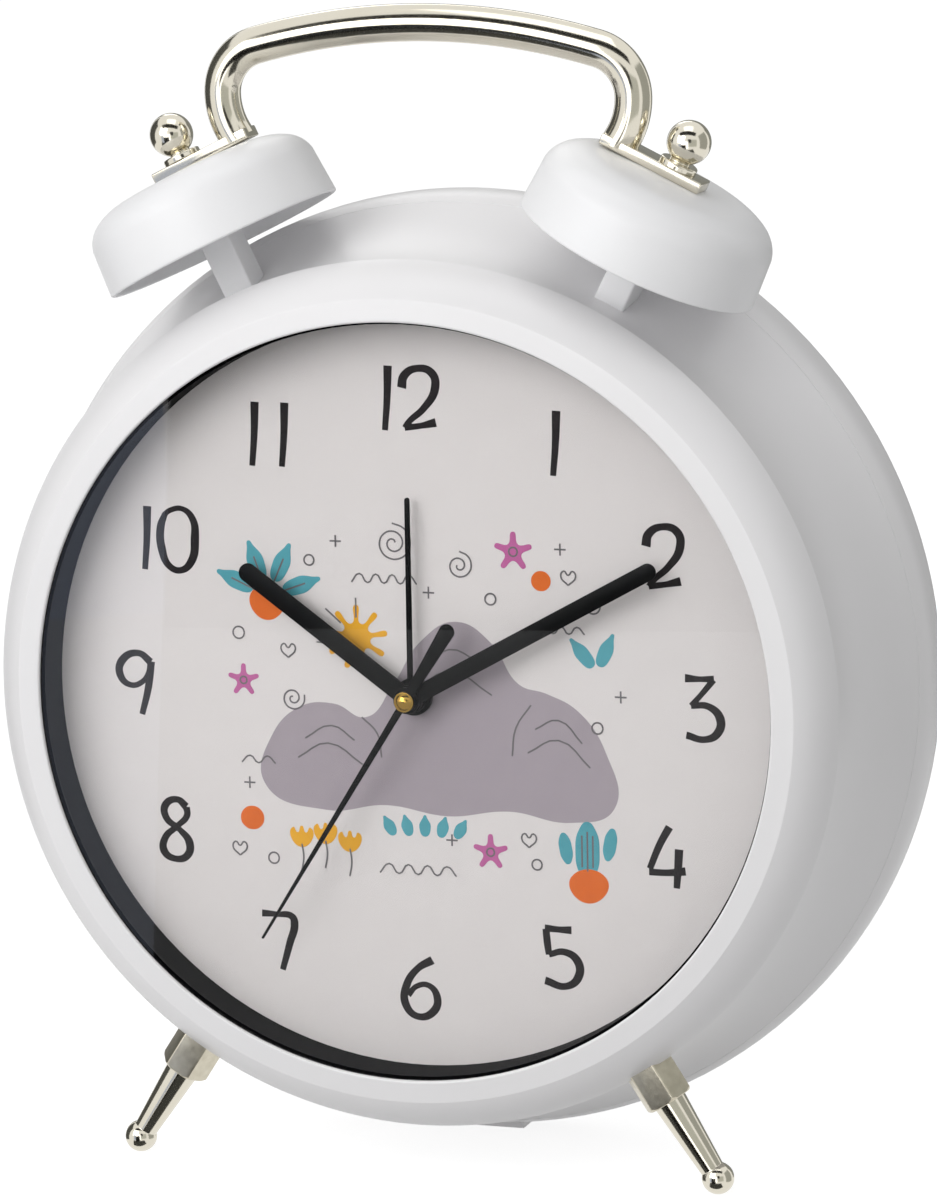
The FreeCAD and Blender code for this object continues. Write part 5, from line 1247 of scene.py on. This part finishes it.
class Motif:
    """Outlines of the dial's own landscape print, in millimetres from the dial's middle."""

    SPRIG: Point = (-38, 23.5)
    SPRIG_LEANS = (-66, -20, 24, 70)
    TULIPS: tuple[Point, ...] = ((-30.5, -38), (-24.2, -36.9), (-17.8, -38.6))
    # Place, reach of the petals and radius of the eye
    FLOWERS = ((26, 37, 5.0, 1.1), (19, -38.5, 4.6, 1.0), (-45, 2, 4.2, 0.9))
    # Place and radius
    RINGS = ((-46, 14, 1.5), (-27, 33, 1.3), (20, 25, 1.4), (47, -6, 1.4), (-38, -43, 1.4),
             (31, -41, 1.3))
    CROSSES = ((-20, 38), (38, 38), (-44, -24), (9, -36), (53, 2), (4, 26))
    HEARTS = ((40, 31), (-33, 10), (-47, -41), (29, -35))

    @staticmethod
    def blob(x: float, y: float, wide: float, tall: float, turn: float = 0.0,
             count: int = 8) -> list[Point]:
        """Smooth oval with a width, a height and a turn in degrees."""
        angle = math.radians(turn)
        cos, sin = math.cos(angle), math.sin(angle)
        spots = []
        for number in range(count):
            around = 2 * math.pi * number / count
            across, up = wide / 2 * math.cos(around), tall / 2 * math.sin(around)
            spots.append((x + across * cos - up * sin, y + across * sin + up * cos))
        return spots

    @staticmethod
    def leaf(x: float, y: float, length: float, wide: float, turn: float,
             stem: float = 0.0) -> list[Point]:
        """Leaf a stem's length from a point, leaning by a turn in degrees from straight up."""
        angle = math.radians(turn)
        shape = ((0.0, 0.0), (-wide / 2, length * 0.45), (-wide * 0.2, length * 0.85),
                 (0.0, length), (wide * 0.2, length * 0.85), (wide / 2, length * 0.45))
        return [(x + across * math.cos(angle) + (up + stem) * math.sin(angle),
                 y - across * math.sin(angle) + (up + stem) * math.cos(angle))
                for across, up in shape]

    @staticmethod
    def flower(x: float, y: float, reach: float, petals: int, notch: float = 0.45) -> list[Point]:
        """Flower whose edge swells once for each petal and falls back to a notch."""
        spots = []
        for number in range(petals * 2):
            angle = math.pi * number / petals
            radius = reach if number % 2 == 0 else reach * notch
            spots.append((x + radius * math.sin(angle), y + radius * math.cos(angle)))
        return spots

    @staticmethod
    def hills() -> list[list[Point]]:
        """Three rolling hills on one wavy foot."""
        return [[(-40, -24), (-38, -12), (-30, -4), (-21, -3), (-13, -6), (-6, 2), (2, 14),
                 (11, 19), (20, 14), (27, 4), (34, 2), (42, -2), (49, -12), (51, -26),
                 (40, -30), (24, -28), (8, -30), (-8, -28), (-24, -30)]]

    @classmethod
    def teal(cls) -> list[list[Point]]:
        """Sprig at the upper left, cactus at the lower right, a pair of leaves and a fern."""
        sprig = [cls.leaf(*cls.SPRIG, 10.5, 4.4, lean, 4.2) for lean in cls.SPRIG_LEANS]
        cactus = [cls.blob(44, -37, 6.2, 15), cls.blob(38.4, -36.5, 3.3, 8, 10),
                  cls.blob(49.8, -35, 3.3, 8.4, -10)]
        leaves = [cls.leaf(47, 8, 9, 3.6, lean, 1.5) for lean in (-40, 24)]
        fern = [cls.leaf(-6 + 4 * step, -35.5, 5.5, 3.0, -30 + 15 * step) for step in range(5)]
        return sprig + cactus + leaves + fern

    @classmethod
    def orange(cls) -> list[list[Point]]:
        """Pot of the cactus, pot of the sprig and two round fruits."""
        pot = [(39.8, -43.5), (41.2, -49), (47.2, -49), (48.8, -43.5)]
        low_pot = [(-42.2, 24.6), (-40.9, 18.4), (-35.6, 18.4), (-34.2, 24.6)]
        return [pot, low_pot, cls.blob(-43.5, -33, 6.2, 6.0), cls.blob(33, 30, 5.0, 5.0)]

    @classmethod
    def yellow(cls) -> list[list[Point]]:
        """Sun over the hills, and three tulips at the lower left."""
        tulips = []
        for x, y in cls.TULIPS:
            tulips.append([(x - 2.3, y + 3.2), (x - 1.1, y + 1.9), (x, y + 3.6),
                           (x + 1.1, y + 1.9), (x + 2.3, y + 3.2), (x + 1.7, y - 1.2),
                           (x - 1.7, y - 1.2)])
        return [cls.flower(-15, 14, 8.2, 9), *tulips]

    @classmethod
    def pink(cls) -> list[list[Point]]:
        """Three five-petalled flowers."""
        return [cls.flower(x, y, reach, 5) for x, y, reach, _ in cls.FLOWERS]

    @classmethod
    def ring(cls, x: float, y: float, radius: float) -> list[Point]:
        """Small circle drawn with a pen."""
        spots = cls.blob(x, y, 2 * radius, 2 * radius)
        return [*spots, spots[0]]

    @staticmethod
    def spiral(x: float, y: float, radius: float, turns: float, start: float) -> list[Point]:
        """Open spiral from its middle outwards."""
        steps = round(turns * 9)
        spots = []
        for step in range(steps + 1):
            angle = math.radians(start) + 2 * math.pi * turns * step / steps
            reach = radius * (0.12 + 0.88 * step / steps)
            spots.append((x + reach * math.cos(angle), y + reach * math.sin(angle)))
        return spots

    @staticmethod
    def wave(x: float, y: float, length: float, height: float, count: int) -> list[Point]:
        """Wavy line from a point to the right."""
        return [(x + length * step / (2 * count), y + (height if step % 2 else -height))
                for step in range(2 * count + 1)]

    @classmethod
    def pen_lines(cls) -> list[list[Point]]:
        """Contours, furrows, spirals, waves, rings, hearts and crosses."""
        lines = [
            [(-29, -12), (-22, -8.5), (-16, -12)], [(-31, -17), (-23, -13), (-14, -18)],
            [(2, 6), (9, 12), (17, 9)], [(-1, 0), (9, 6.5), (20, 1)],
            [(31, -7), (37, -4.5), (43, -10)], [(29, -13), (37, -9.5), (45, -16)],
            [(-14, -6), (-10, -10), (-9, -16)], [(30, -1), (26, -7), (25, -14)],
            cls.spiral(-5, 38, 5.0, 2.2, 20), cls.spiral(12, 33, 3.6, 1.8, 160),
            cls.spiral(-32, -2, 3.2, 1.8, 90), cls.spiral(46, 24, 3.0, 1.6, 0),
            cls.wave(-16, 29, 17, 1.1, 4), cls.wave(32, 18, 12, 0.9, 3),
            cls.wave(-10, -44, 20, 1.2, 4), cls.wave(-46, -18, 9, 0.9, 2),
            [(-15, 19), (-15, 24)], [(-20, 12), (-25.5, 12.5)], [(-19, 17.5), (-23, 21)],
            [(44, -32), (44, -42)], [(42.6, -33), (42.6, -41)], [(45.4, -33), (45.4, -41)],
        ]
        for x, y in cls.TULIPS:
            lines.append([(x, y - 1), (x + 0.4, y - 4.5), (x - 0.2, y - 8)])
        x, y = cls.SPRIG
        for lean in cls.SPRIG_LEANS:
            angle = math.radians(lean)
            lines.append([(x + reach * math.sin(angle), y + reach * math.cos(angle))
                          for reach in (2.5, 6.5, 10.5)])
        lines += [cls.ring(x, y, radius) for x, y, radius in cls.RINGS]
        lines += [cls.ring(x, y, eye) for x, y, _, eye in cls.FLOWERS]
        for x, y in cls.CROSSES:
            lines += [[(x - 1.5, y), (x + 1.5, y)], [(x, y - 1.5), (x, y + 1.5)]]
        for x, y in cls.HEARTS:
            lines.append([(x, y - 1.8), (x - 1.9, y + 0.4), (x - 1.1, y + 1.7), (x, y + 0.7),
                          (x + 1.1, y + 1.7), (x + 1.9, y + 0.4), (x, y - 1.8)])
        return lines


@dataclass
class Dial:
    """Printed dial: brush-drawn numerals and a plain landscape print of its own."""

    shop: Shop
    depth: float = 14.7
    numeral_reach: float = 74.0
    pair_offsets: tuple[float, float] = (-6.0, 2.3)
    twin_offsets: tuple[float, float] = (-3.9, 3.9)
    pen: float = 0.22
    brush: float = 0.92
    layer_step: float = 0.2
    line_layer: float = 3.0
    inks: tuple[Finish, ...] = (
        # Offset inks on coated card: slightly uneven film, low shine
        Finish("ink_black", "#1B181A", "#2E292B", 0.60, 0.05, 1.5, 0.4, 0.002, gleam=0.15),
        Finish("ink_line", "#6B6769", "#7A7678", 0.55, 0.05, 3.0, 0.4, 0.002, gleam=0.2),
        Finish("ink_mauve", "#AAA0A7", "#A49AA1", 0.55, 0.05, 4.0, 0.4, 0.002, gleam=0.2),
        Finish("ink_teal", "#5BA8B4", "#4F9BA8", 0.55, 0.05, 3.0, 0.4, 0.002, gleam=0.2),
        Finish("ink_orange", "#E5722E", "#DB6626", 0.55, 0.05, 3.0, 0.4, 0.002, gleam=0.2),
        Finish("ink_yellow", "#EDB032", "#E6A428", 0.55, 0.05, 3.0, 0.4, 0.002, gleam=0.2),
        Finish("ink_pink", "#C46BA2", "#BA6198", 0.55, 0.05, 3.0, 0.4, 0.002, gleam=0.2),
    )

    def build(self) -> None:
        """Dress the card, draw the numerals and print the landscape."""
        for ink in self.inks:
            self.shop.finishes.add(ink)
        self.shop.dress("dial", "coated_card")
        for hour in range(1, 13):
            self.make_numeral(hour)
        self.make_print()

    def put(self, piece: Piece, ink: str) -> None:
        """Set a flat print down on the dial."""
        Bench.finish(piece, self.shop.datum.face(self.depth))
        self.shop.fit(piece, ink, "dial_paper")

    def make_numeral(self, hour: int) -> None:
        """Draw one number, upright on its spoke of the dial."""
        text = str(hour)
        if len(text) == 1:
            offsets: tuple[float, ...] = (0.0,)
        else:
            offsets = self.twin_offsets if text == "11" else self.pair_offsets
        turn = math.radians(30 * hour)
        across, up = self.numeral_reach * math.sin(turn), self.numeral_reach * math.cos(turn)
        lines = []
        for digit, offset in zip(text, offsets):
            for line in DIGITS[digit]:
                lines.append(tuple((x + offset + across, y + up, half * self.brush)
                                   for x, y, half in line))
        self.put(Pen.strokes(f"numeral_{hour:02d}", lines), "ink_black")

    def make_print(self) -> None:
        """Print the landscape: hills, then coloured motifs, then thin pen lines."""
        for layer, (colour, outlines) in enumerate((
            ("mauve", Motif.hills()), ("teal", Motif.teal()), ("orange", Motif.orange()),
            ("yellow", Motif.yellow()), ("pink", Motif.pink()),
        )):
            lift = (1 + layer * self.layer_step) * Pen.INK_HEIGHT if layer else 0.0
            self.put(Pen.shape("print_" + colour, outlines, lift), "ink_" + colour)
        lines = [tuple((x, y, self.pen) for x, y in line) for line in Motif.pen_lines()]
        self.put(Pen.strokes("print_lines", lines, self.line_layer * Pen.INK_HEIGHT, 4), "ink_line")


@dataclass
class Works:
    """Movement, controls, battery and screws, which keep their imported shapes."""

    shop: Shop
    finishes: tuple[tuple[str, tuple[str, ...]], ...] = (
        ("black_eroded_abs", ("movement_case", "movement_cover", "buzzer", "alarm_switch",
                              "time_set_knob", "alarm_set_knob")),
        ("zinc_plated_steel", ("cover_screws", "post_screws", "battery_plate", "battery_spring",
                               "stator", "second_arbor", "time_set_shaft", "alarm_set_shaft")),
        ("acetal_gear", ("alarm_wheel", "hour_wheel", "minute_wheel", "centre_wheel",
                         "third_wheel", "intermediate_wheel", "rotor")),
        ("polished_brass", ("minute_arbor", "train_plate")),
        ("enamelled_copper", ("coil",)),
        ("green_solder_mask", ("circuit_board",)),
        ("vinyl_sleeve", ("battery",)),
        ("black_rubber", ("fixing_washer",)),
        ("satin_black_paint", ("fixing_nut",)),
    )

    def build(self) -> None:
        """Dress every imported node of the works."""
        for finish, nodes in self.finishes:
            for node in nodes:
                self.shop.dress(node, finish)


@dataclass
class Studio:
    """Camera, lamps, pale floor, cards and background."""

    datum: Datum
    azimuth: float = 18.33
    elevation: float = 10.14
    roll: float = -0.97
    lens: float = 168.85
    sensor: float = 36.0
    clip: Point = (0.05, 20.0)
    centre: tuple[float, float, float] = (441.48, -1275.35, 267.49)
    world_light: float = 0.51
    floor_size: float = 8.0
    floor_drop: float = 0.0002
    floor_grey: float = 0.42
    floor_shown: float = 0.72
    floor_glow: float = 0.10
    # Name, place in metres, side of the square in metres, and watts
    lamps: tuple[tuple[str, tuple[float, float, float], float, float], ...] = (
        ("key", (-0.75, -1.5, 0.85), 1.2, 13.0),
        ("table_bounce", (-0.1, -1.2, 0.06), 0.8, 2.4),
        ("overhead", (0.1, -0.35, 2.0), 1.2, 3.6),
        ("rear_fill", (-0.7, 1.7, 1.3), 0.9, 4.0),
    )
    # Name, azimuth, elevation and distance from the clock's middle, size, and grey
    cards: tuple[tuple[str, float, float, float, Point, float], ...] = (
        ("card_camera", 20.0, 16.0, 1.9, (0.55, 0.60), 0.03),
        ("card_front_right", 34.0, 4.0, 2.1, (1.7, 1.3), 0.62),
        ("card_front_high", 8.0, 57.0, 1.3, (1.9, 0.46), 0.02),
        ("card_front_low", 0.0, -50.0, 1.3, (1.9, 0.95), 0.06),
        ("card_left", -103.0, 8.0, 1.5, (1.5, 1.8), 0.10),
        ("card_right", 98.0, 8.0, 1.6, (1.5, 1.8), 0.45),
        ("card_behind", 180.0, 12.0, 1.9, (3.0, 1.9), 0.30),
    )

    def build(self) -> None:
        """Set up the whole studio."""
        self.make_camera()
        self.make_world()
        self.make_floor()
        self.make_lamps()
        self.make_cards()

    def make_camera(self) -> None:
        """Camera at the photograph's viewing angle; its centre is in clock millimetres."""
        data = bpy.data.cameras.new("Camera")
        data.sensor_width = data.sensor_height = self.sensor
        data.lens = self.lens
        data.clip_start, data.clip_end = self.clip
        camera = bpy.data.objects.new("Camera", data)
        bpy.context.scene.collection.objects.link(camera)
        azimuth, elevation, roll = (math.radians(angle) for angle in
                                    (self.azimuth, self.elevation, self.roll))
        back = Vector((math.sin(azimuth) * math.cos(elevation),
                       -math.cos(azimuth) * math.cos(elevation), math.sin(elevation)))
        right = Vector((math.cos(azimuth), math.sin(azimuth), 0.0))
        up = back.cross(right)
        rolled_right = right * math.cos(roll) + up * math.sin(roll)
        rolled_up = up * math.cos(roll) - right * math.sin(roll)
        turn = Matrix((rolled_right, rolled_up, back)).transposed().to_4x4()
        x, y, z = (value * MM for value in self.centre)
        place = Matrix.Translation((x, self.datum.front + y, self.datum.height + z))
        camera.matrix_world = place @ turn
        bpy.context.scene.camera = camera

    def make_world(self) -> None:
        """White to the camera and in reflections, a plain even light otherwise."""
        world = bpy.data.worlds.new("studio_white")
        world.use_nodes = True
        bpy.context.scene.world = world
        tree = world.node_tree
        tree.nodes.clear()
        ray = add_node(tree, "LightPath")
        seen = add_node(tree, "Math", {"operation": "MAXIMUM"}, {
            0: ray.outputs["Is Camera Ray"], 1: ray.outputs["Is Glossy Ray"]})
        shown = add_node(tree, "Math", {"operation": "MAXIMUM"}, {
            0: seen.outputs[0], 1: ray.outputs["Is Transmission Ray"]})
        light = add_node(tree, "Background", {"Color": linear("#FFFFFF"),
                                              "Strength": self.world_light})
        white = add_node(tree, "Background", {"Color": linear("#FFFFFF"), "Strength": 1.0})
        mix = add_node(tree, "MixShader", links={
            0: shown.outputs[0], 1: light.outputs[0], 2: white.outputs[0]})
        add_node(tree, "OutputWorld", links={"Surface": mix.outputs[0]})

    def make_floor(self) -> None:
        """Wide pale floor that fades to the white background and keeps a soft shadow."""
        bpy.ops.mesh.primitive_plane_add(size=self.floor_size,
                                         location=(0.0, 0.0, -self.floor_drop))
        floor = bpy.context.object
        floor.name = "studio_floor"
        material, tree = blank("studio_paper")
        paper = add_node(tree, "BsdfDiffuse", {"Color": (*(self.floor_grey,) * 3, 1.0)})
        ray = add_node(tree, "LightPath")
        level = add_node(tree, "Math", {"operation": "MULTIPLY_ADD"},
                         {0: ray.outputs["Is Camera Ray"]})
        level.inputs[1].default_value = self.floor_shown
        level.inputs[2].default_value = self.floor_glow
        glow = add_node(tree, "Emission", {"Color": linear("#FFFFFF")},
                        {"Strength": level.outputs[0]})
        both = add_node(tree, "AddShader", links={0: paper.outputs[0], 1: glow.outputs[0]})
        add_node(tree, "OutputMaterial", links={"Surface": both.outputs[0]})
        floor.data.materials.append(material)
        floor.visible_glossy = False

    def make_lamp(self, name: str, place: tuple[float, float, float], size: float,
                  watts: float) -> None:
        """A square softbox that faces the clock's middle."""
        data = bpy.data.lights.new(name, "AREA")
        data.shape = "SQUARE"
        data.size = size
        data.energy = watts
        lamp = bpy.data.objects.new(name, data)
        bpy.context.scene.collection.objects.link(lamp)
        lamp.location = place
        aim = Vector((0.0, 0.0, self.datum.height)) - Vector(place)
        lamp.rotation_mode = "QUATERNION"
        lamp.rotation_quaternion = aim.to_track_quat("-Z", "Y")

    def make_lamps(self) -> None:
        """Large key from the left in front, and weak light off the table, above and behind."""
        for name, place, size, watts in self.lamps:
            self.make_lamp(name, place, size, watts)

    def make_card(self, name: str, place: Vector, size: Point, grey: float,
                  colour: str = "#F4F6F0") -> None:
        """A plain card that faces the clock and shows only in reflections.

        Args:
            name: the card's name.
            place: its middle, in metres.
            size: its width and height, in metres.
            grey: how bright it looks, 0 to 1.
            colour: its colour.
        """
        bpy.ops.mesh.primitive_plane_add(size=1.0, location=place)
        card = bpy.context.object
        card.name = name
        card.scale = (*size, 1.0)
        aim = Vector((0.0, 0.0, self.datum.height)) - place
        card.rotation_mode = "QUATERNION"
        card.rotation_quaternion = aim.to_track_quat("Z", "Y")
        material, tree = blank(name + "_paper")
        paper = add_node(tree, "Emission", {"Color": linear(colour), "Strength": grey})
        add_node(tree, "OutputMaterial", links={"Surface": paper.outputs[0]})
        card.data.materials.append(material)
        card.visible_camera = card.visible_diffuse = card.visible_shadow = False

    def make_cards(self) -> None:
        """Cards all round as the dim parts of a room, and two that the lens and its wall mirror."""
        for name, azimuth, elevation, far, size, grey in self.cards:
            turn, rise = math.radians(azimuth), math.radians(elevation)
            place = Vector((math.sin(turn) * math.cos(rise), -math.cos(turn) * math.cos(rise),
                            math.sin(rise))) * far
            place.z += self.datum.height
            self.make_card(name, place, size, grey)
        self.make_card("card_low_left", Vector((-0.139, -0.75, -0.10)), (0.395, 0.51), 0.01)
        self.make_card("card_far_left", Vector((-0.43, -0.72, -0.02)), (0.20, 0.50), 0.70,
                       "#DCE6FF")


def main() -> None:
    """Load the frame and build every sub-assembly."""
    logging.basicConfig(level=logging.INFO, format="%(name)s: %(message)s")
    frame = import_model()
    shop = Shop(Datum.read(), Finishes(), frame)
    bpy.context.scene.view_settings.view_transform = "Standard"
    Studio(shop.datum).build()
    for part in (CaseShell, Bells, Handle, Feet, Hands, Dial, Works):
        part(shop).build()


if __name__ == "__main__":
    main()
